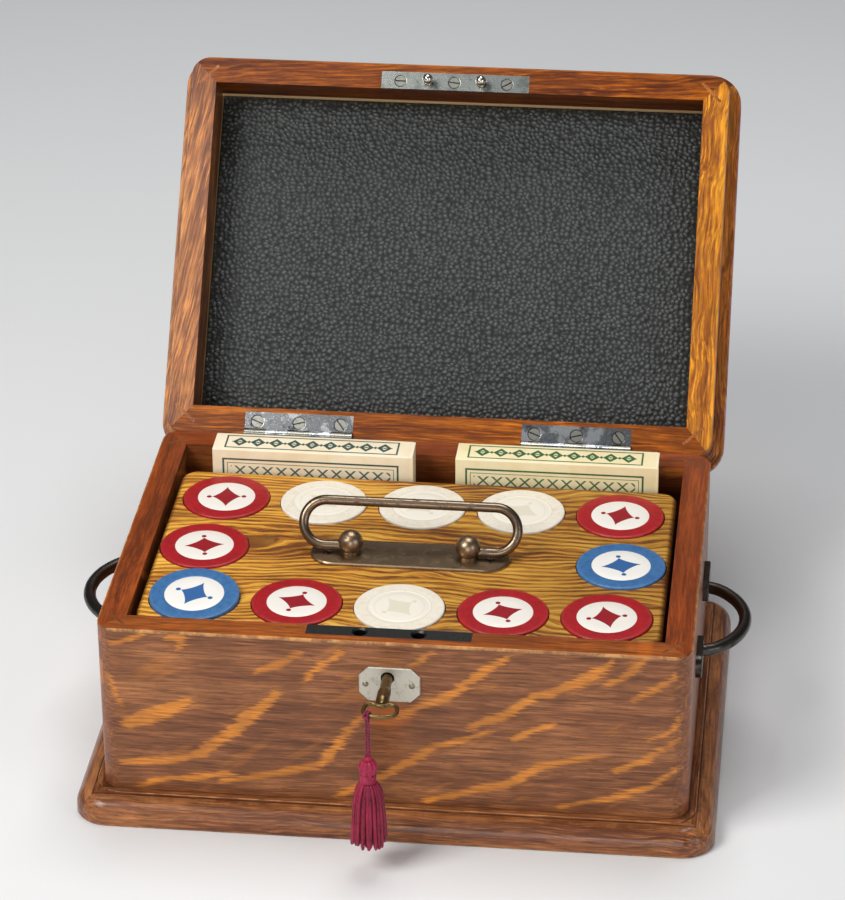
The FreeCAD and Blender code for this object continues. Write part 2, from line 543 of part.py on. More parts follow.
# ---------------------------------------------------------------- deck compartment
put("deck_riser", bx(-XI + 0.1, XI - 0.1, RY1 + 1.4, YB - 0.1, HB, RISER_TOP))
def deck(x0, y0, name):
    l, t, h = DECK
    b = bx(x0, x0 + l, y0, y0 + t, RISER_TOP, RISER_TOP + h)
    b = b.makeFillet(0.5, [e for e in b.Edges if e.BoundBox.XLength > l - 1])
    w = 0.55
    inner = bx(x0 + w, x0 + l - w, y0 + w, y0 + t - w, RISER_TOP + w, RISER_TOP + h - w)
    cards = bx(x0 + w + 1.0, x0 + l - w - 1.0, y0 + w + 0.1, y0 + t - w - 0.1,
               RISER_TOP + w, RISER_TOP + h - w - 0.7)
    put("deck_%s_box" % name, b.cut(inner))
    put("deck_%s_cards" % name, cards)
deck(-100.5, 58.6, "left")
deck(12.0, 59.6, "right")

# ---------------------------------------------------------------- rack
ZF0 = HB + 0.05
ZF1 = ZF0 + RACK_FLOOR_T
floor_ = rprism(RX0, RX1, RY0, RY1, RACK_R, ZF0, ZF1)
block = rprism(RX0, RX1, RY0, RY1, RACK_R, ZF1, RACK_TOP)
block = block.makeFillet(RACK_ROUND, loop_edges(block, RACK_TOP))
wells = []
for c, x in enumerate((-2, -1, 0, 1, 2)):
    wells.append(("back_%d" % (c + 1), x * PITCH_X, ROW_Y + PITCH_Y))
wells.append(("middle_1", 0.3 - MID_X, ROW_Y))
wells.append(("middle_2", MID_X, ROW_Y))
for c, x in enumerate((-2, -1, 0, 1, 2)):
    wells.append(("front_%d" % (c + 1), x * PITCH_X, ROW_Y - PITCH_Y))
block = block.cut([cyl((x, y, ZF1 - 1), (0, 0, 1), WELL_R, RACK_TOP) for _, x, y in wells])
for name, x, y in wells:
    stack = []
    for i in range(CHIPS):
        z = ZF1 + 0.05 + i * CHIP_T
        chip = cyl((x, y, z), (0, 0, 1), CHIP_R, CHIP_T)
        stack.append(chip.makeChamfer(0.35, [e for e in chip.Edges if abs(e.BoundBox.ZLength) < 1e-5]))
    put("chips_" + name, Part.makeCompound(stack))

# handle on the rack: plate, two ball posts, bail, two screws
pz = RACK_TOP
r = PLATE_W / 2
plate = rprism(HX - PLATE_L / 2, HX + PLATE_L / 2 + 0.8, HY - r, HY + r, r - 0.05, pz, pz + PLATE_T)
plate = plate.makeChamfer(0.5, loop_edges(plate, pz + PLATE_T))
hs = []
for s in (-1, 1):
    p = (HX + s * 36.0, HY - 1.8, pz + PLATE_T)
    sl = (1, 0.8 * s, 0)
    full = screw(p, (0, 0, -1), 2.3, 1.2, 13, sl, False)
    hs.append(screw(p, (0, 0, -1), 2.3, 1.2, 13, sl))
    plate, block = plate.cut(full), block.cut(full)
posts = []
for s in (-1, 1):
    cx = HX + s * POST_X
    b = Part.makeSphere(BALL_R, V(cx, HY, BALL_Z))
    col = cyl((cx, HY, pz + PLATE_T), (0, 0, 1), 4.3, 2.6).fuse(
        cyl((cx, HY, pz - 9), (0, 0, 1), 1.7, 12))
    b = b.fuse(col).removeSplitter()
    # blind hole from the outer side for the bail's end
    b = b.cut(cyl((cx - s * 1.6, HY, BAIL_Z), (s, 0, 0), BAIL_R + 0.05, 10))
    b = b.cut(bx(cx - 7, cx + 7, HY - 7, HY + 7, pz, pz + PLATE_T).cut(
        cyl((cx, HY, pz - 1), (0, 0, 1), 1.7, 4)))
    posts.append(b)
    stem = cyl((cx, HY, pz - 9), (0, 0, 1), 1.7, 12)
    plate, block = plate.cut(stem), block.cut(stem)
put("rack_block", block)
put("rack_floor", floor_)
put("handle_plate", plate)
put("handle_posts", Part.makeCompound(posts))
put("handle_screws", Part.makeCompound(hs))
# bail, upright, then leaned back about its pivot line
xo, ra = BAIL_OUT, BAIL_ARC
zb, zt = BAIL_Z, BAIL_Z + BAIL_H
xa = xo - ra
xe = POST_X - 1.4
P = lambda x, z: V(HX + x, HY, z)
segs = [
    Part.makeLine(P(-xe, zb), P(-xa, zb)),
    Part.Arc(P(-xa, zb), P(-xo, zb + ra), P(-xa, zb + 2 * ra)).toShape(),
    Part.makeLine(P(-xa, zt), P(xa, zt)),
    Part.Arc(P(xa, zt), P(xo, zb + ra), P(xa, zb)).toShape(),
    Part.makeLine(P(xa, zb), P(xe, zb)),
]
path = Part.Wire(segs)
prof = Part.Wire([Part.makeCircle(BAIL_R, P(-xe, zb), V(1, 0, 0))])
bail = path.makePipeShell([prof], True, False)
bail.rotate(V(HX, HY, BAIL_Z), V(1, 0, 0), -BAIL_TILT)
put("handle_bail", bail)

# ---------------------------------------------------------------- open the lid, write
for name in sorted(NODES):
    s = NODES[name].copy()
    if name in LID:
        s.rotate(V(0, HINGE_Y, HINGE_Z), V(1, 0, 0), -OPEN_DEG)
    if not s.isValid():
        print("INVALID", name)
    for k, so in enumerate(s.Solids):
        if so.Volume <= 0:
            print("NEGATIVE", name, k)
    s.exportStep("parts/%s.step" % name)
    bb = s.BoundBox
    print("%-22s solids %2d  vol %10.1f  x %7.1f %7.1f  y %7.1f %7.1f  z %6.1f %6.1f" % (
        name, len(s.Solids), s.Volume, bb.XMin, bb.XMax, bb.YMin, bb.YMax, bb.ZMin, bb.ZMax))
print(len(NODES), "nodes")
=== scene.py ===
import bpy, bmesh, json, math, random
import numpy as np
from mathutils import Vector, Matrix
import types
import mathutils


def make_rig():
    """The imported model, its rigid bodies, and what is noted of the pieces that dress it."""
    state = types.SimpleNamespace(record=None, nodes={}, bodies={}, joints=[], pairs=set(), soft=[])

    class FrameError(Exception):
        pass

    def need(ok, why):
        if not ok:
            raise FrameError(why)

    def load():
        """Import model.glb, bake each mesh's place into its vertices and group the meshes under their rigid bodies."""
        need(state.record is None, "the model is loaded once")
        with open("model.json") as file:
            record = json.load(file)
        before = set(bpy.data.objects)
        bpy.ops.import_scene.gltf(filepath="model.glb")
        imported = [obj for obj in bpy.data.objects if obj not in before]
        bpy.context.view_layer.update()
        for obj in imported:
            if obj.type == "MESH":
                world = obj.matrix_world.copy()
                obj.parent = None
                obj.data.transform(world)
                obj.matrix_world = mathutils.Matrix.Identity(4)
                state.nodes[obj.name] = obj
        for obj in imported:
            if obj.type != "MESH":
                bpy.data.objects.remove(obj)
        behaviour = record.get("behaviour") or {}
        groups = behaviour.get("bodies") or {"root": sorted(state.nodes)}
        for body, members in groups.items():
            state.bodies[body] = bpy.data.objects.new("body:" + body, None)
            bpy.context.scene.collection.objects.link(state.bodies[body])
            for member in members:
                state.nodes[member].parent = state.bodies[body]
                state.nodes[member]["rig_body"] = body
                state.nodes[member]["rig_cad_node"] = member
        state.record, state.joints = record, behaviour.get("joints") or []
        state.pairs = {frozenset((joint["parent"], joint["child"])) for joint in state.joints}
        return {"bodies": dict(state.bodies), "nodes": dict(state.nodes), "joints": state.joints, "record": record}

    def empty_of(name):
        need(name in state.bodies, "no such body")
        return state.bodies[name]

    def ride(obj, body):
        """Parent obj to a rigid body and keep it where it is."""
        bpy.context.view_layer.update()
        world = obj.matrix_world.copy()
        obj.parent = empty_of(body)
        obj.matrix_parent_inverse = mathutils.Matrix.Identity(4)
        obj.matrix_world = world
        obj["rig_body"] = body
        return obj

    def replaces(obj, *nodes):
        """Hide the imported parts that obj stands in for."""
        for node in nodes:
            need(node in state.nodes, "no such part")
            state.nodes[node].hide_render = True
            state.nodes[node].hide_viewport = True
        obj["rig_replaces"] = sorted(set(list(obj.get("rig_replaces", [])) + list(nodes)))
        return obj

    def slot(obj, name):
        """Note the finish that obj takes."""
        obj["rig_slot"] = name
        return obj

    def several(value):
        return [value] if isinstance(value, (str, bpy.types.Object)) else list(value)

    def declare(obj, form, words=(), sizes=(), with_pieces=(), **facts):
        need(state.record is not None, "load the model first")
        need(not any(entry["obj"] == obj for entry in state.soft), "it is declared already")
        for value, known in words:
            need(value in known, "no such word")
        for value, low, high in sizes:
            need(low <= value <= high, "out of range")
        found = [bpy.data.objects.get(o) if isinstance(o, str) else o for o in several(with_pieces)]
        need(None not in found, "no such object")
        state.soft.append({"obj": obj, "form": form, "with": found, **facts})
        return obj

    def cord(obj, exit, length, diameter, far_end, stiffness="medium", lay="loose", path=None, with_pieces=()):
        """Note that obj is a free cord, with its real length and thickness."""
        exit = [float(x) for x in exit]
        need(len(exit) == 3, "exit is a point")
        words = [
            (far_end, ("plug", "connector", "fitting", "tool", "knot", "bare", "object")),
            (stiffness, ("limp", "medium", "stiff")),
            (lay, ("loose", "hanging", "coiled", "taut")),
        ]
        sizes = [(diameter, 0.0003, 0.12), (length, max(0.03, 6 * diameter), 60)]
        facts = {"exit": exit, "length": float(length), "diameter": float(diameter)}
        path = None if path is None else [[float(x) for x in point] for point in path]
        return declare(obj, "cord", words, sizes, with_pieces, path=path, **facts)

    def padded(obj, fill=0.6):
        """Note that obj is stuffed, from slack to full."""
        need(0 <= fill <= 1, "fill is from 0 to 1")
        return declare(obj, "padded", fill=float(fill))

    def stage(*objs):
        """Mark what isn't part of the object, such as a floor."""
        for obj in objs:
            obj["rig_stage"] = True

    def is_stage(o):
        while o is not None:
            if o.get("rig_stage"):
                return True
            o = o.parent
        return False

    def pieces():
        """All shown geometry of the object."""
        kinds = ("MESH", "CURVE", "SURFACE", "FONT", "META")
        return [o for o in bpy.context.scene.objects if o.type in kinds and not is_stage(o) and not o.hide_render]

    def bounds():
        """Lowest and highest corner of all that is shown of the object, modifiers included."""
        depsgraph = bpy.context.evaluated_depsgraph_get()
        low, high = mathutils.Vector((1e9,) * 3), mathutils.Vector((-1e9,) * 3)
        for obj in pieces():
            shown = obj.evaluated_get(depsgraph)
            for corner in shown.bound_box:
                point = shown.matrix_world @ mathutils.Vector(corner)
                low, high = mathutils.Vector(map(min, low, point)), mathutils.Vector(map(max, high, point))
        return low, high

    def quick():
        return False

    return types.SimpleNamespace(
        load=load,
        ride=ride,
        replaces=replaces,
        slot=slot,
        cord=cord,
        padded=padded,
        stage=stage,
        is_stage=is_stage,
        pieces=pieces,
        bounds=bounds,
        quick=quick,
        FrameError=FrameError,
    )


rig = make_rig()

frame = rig.load()
CAD_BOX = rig.bounds()
MM = 0.001
OPEN = math.radians(127.5)
HINGE = (0.0, 0.090, 0.0936)

# ------------------------------------------------------------------ camera
def aim_camera():
    a, e, r = math.radians(6.55), math.radians(28.32), math.radians(-0.44)
    back = Vector((math.sin(a) * math.cos(e), -math.cos(a) * math.cos(e), math.sin(e)))
    x = Vector((0, 0, 1)).cross(back).normalized()
    y = back.cross(x)
    xr = math.cos(r) * x + math.sin(r) * y
    yr = -math.sin(r) * x + math.cos(r) * y
    cam = bpy.data.cameras.new("camera")
    cam.lens, cam.sensor_width, cam.sensor_fit = 151.3, 36.0, "AUTO"
    cam.clip_start, cam.clip_end = 0.05, 50
    ob = bpy.data.objects.new("camera", cam)
    m = Matrix.Identity(4)
    for i, v in enumerate((xr, yr, back)):
        for k in range(3):
            m[k][i] = v[k]
    m.translation = Vector((0.1708, -1.4545, 0.9271))
    ob.matrix_world = m
    bpy.context.scene.collection.objects.link(ob)
    bpy.context.scene.camera = ob

aim_camera()

# ------------------------------------------------------------------ node helpers
class Tree:
    """Short ways to write a material's nodes. Values may be numbers, tuples or sockets."""
    def __init__(self, name):
        self.mat = bpy.data.materials.new(name)
        self.mat.use_nodes = True
        self.t = self.mat.node_tree
        self.t.nodes.clear()
        self.out = self.t.nodes.new("ShaderNodeOutputMaterial")
        self.b = self.t.nodes.new("ShaderNodeBsdfPrincipled")
        self.t.links.new(self.b.outputs[0], self.out.inputs[0])

    def put(self, sock, v):
        if isinstance(v, bpy.types.NodeSocket):
            self.t.links.new(v, sock)
        else:
            if hasattr(sock.default_value, "__len__") and not hasattr(v, "__len__"):
                v = (v,) * len(sock.default_value)
            if hasattr(sock.default_value, "__len__") and len(v) == 3 and len(sock.default_value) == 4:
                v = (*v, 1.0)
            sock.default_value = v

    def set(self, **kw):
        for k, v in kw.items():
            self.put(self.b.inputs[k.replace("_", " ")], v)

    def math(self, op, a, b=0.0, c=0.0, clamp=False):
        n = self.t.nodes.new("ShaderNodeMath")
        n.operation, n.use_clamp = op, clamp
        for s, v in zip(n.inputs, (a, b, c)):
            self.put(s, v)
        return n.outputs[0]

    def vmath(self, op, a, b=(0, 0, 0), scale=1.0):
        n = self.t.nodes.new("ShaderNodeVectorMath")
        n.operation = op
        self.put(n.inputs[0], a)
        self.put(n.inputs[1], b)
        n.inputs["Scale"].default_value = scale
        return n.outputs["Value"] if op in ("LENGTH", "DOT_PRODUCT", "DISTANCE") else n.outputs[0]

    def sep(self, v):
        n = self.t.nodes.new("ShaderNodeSeparateXYZ")
        self.put(n.inputs[0], v)
        return n.outputs[0], n.outputs[1], n.outputs[2]

    def comb(self, x, y, z):
        n = self.t.nodes.new("ShaderNodeCombineXYZ")
        for s, v in zip(n.inputs, (x, y, z)):
            self.put(s, v)
        return n.outputs[0]

    def scaled(self, xyz, k):
        return self.comb(*[self.math("MULTIPLY", v, s) for v, s in zip(xyz, k)])

    def noise(self, v, scale=1.0, detail=2.0, rough=0.5, dist=0.0):
        n = self.t.nodes.new("ShaderNodeTexNoise")
        self.put(n.inputs["Vector"], v)
        n.inputs["Scale"].default_value = scale
        n.inputs["Detail"].default_value = detail
        n.inputs["Roughness"].default_value = rough
        n.inputs["Distortion"].default_value = dist
        return n.outputs[0]

    def voronoi(self, v, scale=1.0, feature="F1", rnd=1.0):
        n = self.t.nodes.new("ShaderNodeTexVoronoi")
        n.feature = feature
        self.put(n.inputs["Vector"], v)
        n.inputs["Scale"].default_value = scale
        n.inputs["Randomness"].default_value = rnd
        return n.outputs["Distance"]

    def ramp(self, f, *stops, ease="LINEAR"):
        n = self.t.nodes.new("ShaderNodeValToRGB")
        n.color_ramp.interpolation = ease
        e = n.color_ramp.elements
        while len(e) > 1:
            e.remove(e[-1])
        for i, (p, c) in enumerate(stops):
            k = e[0] if i == 0 else e.new(p)
            k.position = p
            k.color = (*((c,) * 3 if not hasattr(c, "__len__") else c), 1.0)[:4]
        self.put(n.inputs[0], f)
        return n.outputs[0]

    def step(self, f, lo, hi, smooth=True):
        """0 below lo, 1 above hi (or the reverse when lo > hi)."""
        n = self.t.nodes.new("ShaderNodeMapRange")
        n.interpolation_type = "SMOOTHSTEP" if smooth else "LINEAR"
        n.clamp = True
        self.put(n.inputs["Value"], f)
        if lo < hi:
            a, b, c, d = lo, hi, 0.0, 1.0
        else:
            a, b, c, d = hi, lo, 1.0, 0.0
        for k, v in zip(("From Min", "From Max", "To Min", "To Max"), (a, b, c, d)):
            n.inputs[k].default_value = v
        return n.outputs[0]

    def mix(self, f, a, b, mode="MIX"):
        n = self.t.nodes.new("ShaderNodeMix")
        n.data_type, n.blend_type = "RGBA", mode
        self.put(n.inputs[0], f)
        self.put(n.inputs[6], a)
        self.put(n.inputs[7], b)
        return n.outputs[2]

    def bump(self, h, strength=0.3, dist=0.0003, normal=None):
        n = self.t.nodes.new("ShaderNodeBump")
        n.inputs["Strength"].default_value = strength
        n.inputs["Distance"].default_value = dist
        self.put(n.inputs["Height"], h)
        if normal is not None:
            self.t.links.new(normal, n.inputs["Normal"])
        return n.outputs[0]

    def coords(self, lid=False):
        """Object coordinates in millimetres; a lid's are those of the shut lid."""
        tc = self.t.nodes.new("ShaderNodeTexCoord")
        v = tc.outputs["Object"]
        if lid:
            m = self.t.nodes.new("ShaderNodeMapping")
            m.vector_type = "POINT"
            rot = Matrix.Rotation(OPEN, 3, "X")
            h = Vector(HINGE)
            loc = h - rot @ h
            m.inputs["Location"].default_value = loc
            m.inputs["Rotation"].default_value = (OPEN, 0, 0)
            self.put(m.inputs["Vector"], v)
            v = m.outputs[0]
        return self.vmath("SCALE", v, scale=1000.0)

    def add(self, *v):
        s = v[0]
        for x in v[1:]:
            s = self.math("ADD", s, x)
        return s

    def mul(self, *v):
        s = v[0]
        for x in v[1:]:
            s = self.math("MULTIPLY", s, x)
        return s

    def vmax(self, *v):
        s = v[0]
        for x in v[1:]:
            s = self.math("MAXIMUM", s, x)
        return s


def srgb(r, g, b):
    return tuple(((c / 255 + 0.055) / 1.055) ** 2.4 if c > 10 else c / 255 / 12.92 for c in (r, g, b))

# ------------------------------------------------------------------ wood
# strength of each wood's colour
G = {"front": (1.03, 1.08, 0.90), "walls": (1.06, 0.98, 0.75), "lid_front": (0.74, 0.56, 0.10), "lid_back": (0.90, 0.76, 0.15),
     "lid_left": (1.10, 1.18, 1.06), "lid_right": (1.0, 0.93, 0.34), "base": (1.22, 1.16, 0.92), "rack": (1.0, 1.0, 1.0)}

# ray flecks of the front board, as chains of (x, z, half width) in millimetres
FLECKS = [
    [(-115.8, 45.9, 2.1), (-103.2, 51.3, 4.2), (-89.0, 59.0, 2.1)],
    [(-118.2, 25.8, 1.2), (-100.4, 28.0, 1.5), (-84.1, 32.8, 1.8), (-73.6, 40.7, 2.5), (-63.1, 51.3, 3.3), (-49.7, 64.8, 1.8)],
    [(-111.3, 15.2, 1.2), (-91.9, 19.9, 1.3), (-71.2, 23.3, 1.3)],
    [(-74.3, 18.8, 1.2), (-50.7, 24.4, 1.5), (-31.6, 29.9, 1.9), (-24.1, 40.1, 2.2), (-13.5, 55.3, 1.3)],
    [(-58.0, 76.0, 1.0), (-49.3, 79.9, 1.6), (-38.8, 86.4, 1.0)],
    [(-37.9, 73.1, 0.9), (-30.6, 80.2, 1.5), (-21.9, 88.2, 1.1)],
    [(-24.6, 15.5, 1.2), (-8.4, 23.2, 1.6), (3.3, 30.8, 1.9), (19.3, 42.9, 1.8), (32.3, 48.0, 1.3), (43.0, 51.6, 0.7)],
    [(3.5, 57.2, 1.2), (15.1, 64.3, 1.6), (27.3, 70.4, 1.8), (36.6, 79.4, 2.1), (49.3, 88.8, 1.3)],
    [(33.7, 53.2, 1.2), (48.0, 60.8, 1.8), (62.2, 70.9, 1.9), (76.4, 76.5, 1.8), (87.6, 83.3, 2.4), (93.8, 89.8, 1.3)],
    [(52.4, 49.3, 1.0), (60.2, 52.4, 1.3), (70.9, 57.2, 0.7)],
    [(91.9, 78.6, 0.9), (100.3, 84.1, 1.8), (107.9, 91.5, 1.2)],
    [(103.4, 70.5, 0.9), (111.7, 76.5, 1.6), (120.3, 84.8, 1.0)],
    [(96.2, 35.7, 1.2), (109.7, 42.0, 1.5), (122.5, 53.0, 0.9)],
    [(14.8, 14.0, 1.2), (32.2, 20.2, 1.6), (49.6, 26.1, 2.1), (63.9, 34.8, 1.9), (78.2, 39.6, 1.3), (90.4, 42.8, 0.9)],
    [(71.3, 15.2, 0.9), (95.7, 21.1, 1.3), (112.8, 29.5, 1.3), (123.3, 37.8, 0.7)],
    [(-119.8, 86.8, 1.3), (-113.9, 88.5, 1.8), (-107.7, 91.5, 0.9)],
    [(-95.8, 90.9, 1.2), (-89.3, 90.3, 1.5), (-92.1, 84.8, 1.0)],
    [(8.1, 82.6, 0.9), (13.8, 86.3, 1.2), (18.1, 89.8, 0.7)],
    [(-123.2, 70.4, 0.7), (-120.9, 62.9, 0.9), (-118.0, 55.5, 0.6)],
    [(110.9, 52.2, 0.7), (119.3, 57.0, 0.9), (124.1, 63.1, 0.6)],
]

def capsule_group():
    """Depth inside a tapered segment from (ax, az, ra) to (bx, bz, rb): positive inside, in mm."""
    g = bpy.data.node_groups.new("fleck", "ShaderNodeTree")
    for n in ("x", "z", "ax", "az", "dx", "dz", "ra", "dr", "inv"):
        g.interface.new_socket(n, in_out="INPUT", socket_type="NodeSocketFloat")
    g.interface.new_socket("depth", in_out="OUTPUT", socket_type="NodeSocketFloat")
    i, o = g.nodes.new("NodeGroupInput"), g.nodes.new("NodeGroupOutput")
    def m(op, a, b=None, c=None, clamp=False):
        n = g.nodes.new("ShaderNodeMath")
        n.operation, n.use_clamp = op, clamp
        for s, v in zip(n.inputs, (a, b, c)):
            if isinstance(v, bpy.types.NodeSocket):
                g.links.new(v, s)
            elif v is not None:
                s.default_value = v
        return n.outputs[0]
    I = {s.name: s for s in i.outputs if s.name}
    px, pz = m("SUBTRACT", I["x"], I["ax"]), m("SUBTRACT", I["z"], I["az"])
    dot = m("ADD", m("MULTIPLY", px, I["dx"]), m("MULTIPLY", pz, I["dz"]))
    t = m("MULTIPLY", dot, I["inv"], clamp=True)
    qx, qz = m("SUBTRACT", px, m("MULTIPLY", t, I["dx"])), m("SUBTRACT", pz, m("MULTIPLY", t, I["dz"]))
    dist = m("SQRT", m("ADD", m("MULTIPLY", qx, qx), m("MULTIPLY", qz, qz)))
    g.links.new(m("SUBTRACT", m("ADD", I["ra"], m("MULTIPLY", t, I["dr"])), dist), o.inputs[0])
    return g

CAPSULE = capsule_group()

def drawn_flecks(T, x, z):
    depth = None
    for chain in FLECKS:
        for (ax, az, ra), (bx, bz, rb) in zip(chain, chain[1:]):
            n = T.t.nodes.new("ShaderNodeGroup")
            n.node_tree = CAPSULE
            dx, dz = bx - ax, bz - az
            T.put(n.inputs["x"], x)
            T.put(n.inputs["z"], z)
            for k, v in (("ax", ax), ("az", az), ("dx", dx), ("dz", dz), ("ra", ra), ("dr", rb - ra),
                         ("inv", 1.0 / (dx * dx + dz * dz))):
                n.inputs[k].default_value = v
            depth = n.outputs[0] if depth is None else T.math("MAXIMUM", depth, n.outputs[0])
    return depth


def oak(name, along, across, through, lid=False, dark=(78, 42, 24), mid=(128, 74, 42), light=(168, 104, 58),
        fleck_col=(198, 122, 56), fleck=None, seed=0.0, streak=1.0, rough=0.34, edge_wear_and_highlight=None, inner_painted_shading=None,
        coat=0.15, figure=1.0, pore=1.0, gain=(1, 1, 1), worn_and_highlight_col=(214, 160, 108), slant=0.0, top=None, lines=0.5, spec=0.30, fade=None, mitred=False):
    """Varnished oak. along, across and through are the board's own axes (0 X, 1 Y, 2 Z)."""
    def C(c, k=1.0):
        return tuple(min(1.0, v * g * k) for v, g in zip(srgb(*c), gain))
    T = Tree(name)
    P = T.coords(lid)
    xyz = T.sep(P)
    g, a, d = xyz[along], xyz[across], xyz[through]
    if mitred:
        # the two end pieces run the other way, from mitre to mitre
        end = T.math("GREATER_THAN", T.math("SUBTRACT", T.math("ABSOLUTE", xyz[0]), 128.0), T.math("SUBTRACT", T.math("ABSOLUTE", xyz[1]), 91.1))
        shift = T.mul(T.math("SUBTRACT", xyz[1], xyz[0]), end)
        g, a = T.add(g, shift), T.math("SUBTRACT", a, shift)
    if slant:
        a = T.add(a, T.mul(g, slant))
    off = seed * 37.0
    g0 = T.add(g, off)
    # grain wanders a little along the board
    wander = T.noise(T.comb(T.mul(g0, 0.011), T.mul(a, 0.02), T.mul(d, 0.02)), 1.0, 2.0)
    wav = T.noise(T.comb(T.mul(g0, 0.05), T.mul(a, 0.06), T.mul(d, 0.06)), 1.0, 1.0)
    sway = T.add(T.mul(T.math("SUBTRACT", wander, 0.5), 14.0 * figure), T.mul(T.math("SUBTRACT", wav, 0.5), 3.0 * figure))
    aw, dw = T.add(a, sway), T.add(d, T.mul(sway, 0.7))
    broad = T.noise(T.comb(T.mul(g0, 0.008), T.mul(aw, 0.16), T.mul(dw, 0.16)), 1.0, 3.0, 0.55)
    fine = T.noise(T.comb(T.mul(g0, 0.055), T.mul(aw, 0.95), T.mul(dw, 0.95)), 1.0, 4.0, 0.65)
    hair = T.noise(T.comb(T.mul(g0, 0.16), T.mul(aw, 2.3), T.mul(dw, 2.3)), 1.0, 3.0, 0.65)
    col = T.ramp(broad, (0.32, C(dark)), (0.50, C(mid)), (0.70, C(light)))
    f1 = T.step(fine, 0.48, 0.66)
    col = T.mix(T.mul(f1, 0.55 * streak), col, C(light, 1.12))
    f2 = T.step(fine, 0.48, 0.32)
    col = T.mix(T.mul(f2, 0.60 * streak), col, C(dark, 0.85))
    line = T.noise(T.comb(T.mul(g0, 0.065), T.mul(aw, 1.05), T.mul(dw, 1.05)), 1.0, 1.5, 0.55)
    tone = T.add(1.0, T.mul(T.math("SUBTRACT", line, 0.5), 2.6 * lines))
    col = T.mix(1.0, col, tone, "MULTIPLY")
    pores = T.step(hair, 0.56, 0.68)
    col = T.mix(T.mul(pores, 0.55 * pore), col, C(dark, 0.45))
    mask = None
    if fleck == "drawn":
        x, z = xyz[0], xyz[2]
        # ragged along the grain: the edge steps sideways from one hair line to the next
        jag = T.mul(T.math("SUBTRACT", T.noise(T.comb(T.mul(x, 0.02), T.mul(z, 1.1), 0.0), 1.0, 3.0, 0.7), 0.5), 16.0)
        bend = T.mul(T.math("SUBTRACT", T.noise(T.comb(T.mul(x, 0.07), T.mul(z, 0.09), 3.0), 1.0, 2.0), 0.5), 5.0)
        depth = drawn_flecks(T, T.add(x, jag), T.add(z, bend))
        depth = T.add(depth, T.mul(T.math("SUBTRACT", hair, 0.5), 2.6))
        mask = T.step(depth, -0.9, 0.8)
        # faint wider ghosts between the strong ones
        u = T.add(T.mul(x, 0.86), T.mul(z, 0.5))
        v = T.add(T.mul(x, -0.5), T.mul(z, 0.86))
        ghost = T.noise(T.comb(T.mul(T.add(u, jag), 0.030), T.mul(v, 0.14), 1.7), 1.0, 2.0, 0.5)
        mask = T.vmax(T.mul(mask, T.add(0.66, T.mul(fine, 0.5))), T.mul(T.step(ghost, 0.58, 0.74), 0.30))
        # a redder run below the lock
        rx, rz = T.mul(T.math("SUBTRACT", x, -2.0), 1 / 15.0), T.mul(T.math("SUBTRACT", z, 58.0), 1 / 9.0)
        stain = T.step(T.math("SQRT", T.add(T.mul(rx, rx), T.mul(rz, rz))), 1.0, 0.45)
        col = T.mix(T.mul(stain, 0.5), col, C((186, 96, 36)))
    elif fleck:
        ang, thr = math.radians(fleck[0]), fleck[1]
        jag = T.mul(T.math("SUBTRACT", T.noise(T.comb(T.mul(g, 0.02), T.mul(a, 1.1), T.mul(d, 1.1)), 1.0, 3.0, 0.7), 0.5), 14.0)
        gg = T.add(g0, jag)
        u = T.add(T.mul(gg, math.cos(ang)), T.mul(a, math.sin(ang)))
        v = T.add(T.mul(gg, -math.sin(ang)), T.mul(a, math.cos(ang)))
        n = T.noise(T.comb(T.mul(u, 0.026), T.mul(v, 0.115), T.mul(d, 0.06)), 1.0, 2.0, 0.45, 0.4)
        mask = T.step(n, thr, thr + 0.07)
        mask = T.mul(mask, T.add(0.6, T.mul(fine, 0.6)))
        if not lid:
            mask = T.mul(mask, T.step(xyz[2], 93.3, 93.0))
    if mask is not None:
        bright = T.mix(1.0, T.mix(f2, C(fleck_col), C(fleck_col, 0.66)), T.add(1.0, T.mul(T.math("SUBTRACT", line, 0.5), 1.5 * lines)), "MULTIPLY")
        col = T.mix(T.mul(mask, 0.95), col, bright)
    # dents and dark specks
    speck = T.noise(T.scaled(xyz, (0.55, 0.55, 0.55)), 1.0, 4.0, 0.75)
    col = T.mix(T.mul(T.step(speck, 0.69, 0.77), 0.6), col, C((40, 20, 12)))
    cloud = T.noise(T.scaled(xyz, (0.045, 0.045, 0.045)), 1.0, 3.0)
    col = T.mix(T.mul(T.step(cloud, 0.62, 0.40), 0.30), col, C(dark, 0.9))
    wobble = T.noise(T.scaled(xyz, (0.10, 0.10, 0.10)), 1.0, 2.0)
    worn = None
    n1 = T.noise(T.scaled(xyz, (0.11, 0.11, 0.11)), 1.0, 4.0, 0.7)
    # pale colour on the arrises: worn varnish, and on the base and lid partly painted highlight; dark joint lines
    if edge_wear_and_highlight:
        rub, groove = edge_wear_and_highlight(T, xyz)
        worn = T.mul(rub, T.add(0.18, T.mul(T.step(n1, 0.42, 0.66), 0.82)))
        col = T.mix(T.mul(worn, 0.75), col, C(worn_and_highlight_col))
        if groove is not None:
            col = T.mix(T.mul(groove, 0.7), col, C((46, 24, 14)))
    if fade:
        k, lo, hi, mult = fade
        col = T.mix(T.step(xyz[k], lo, hi), col, T.mix(1.0, col, mult, "MULTIPLY"))
    if inner_painted_shading:
        inner_painted_shade, line = inner_painted_shading(T, xyz)
        # painted shade on the inner walls, darker deeper in
        col = T.mix(T.mul(inner_painted_shade, 0.80), col, C((44, 22, 9)))
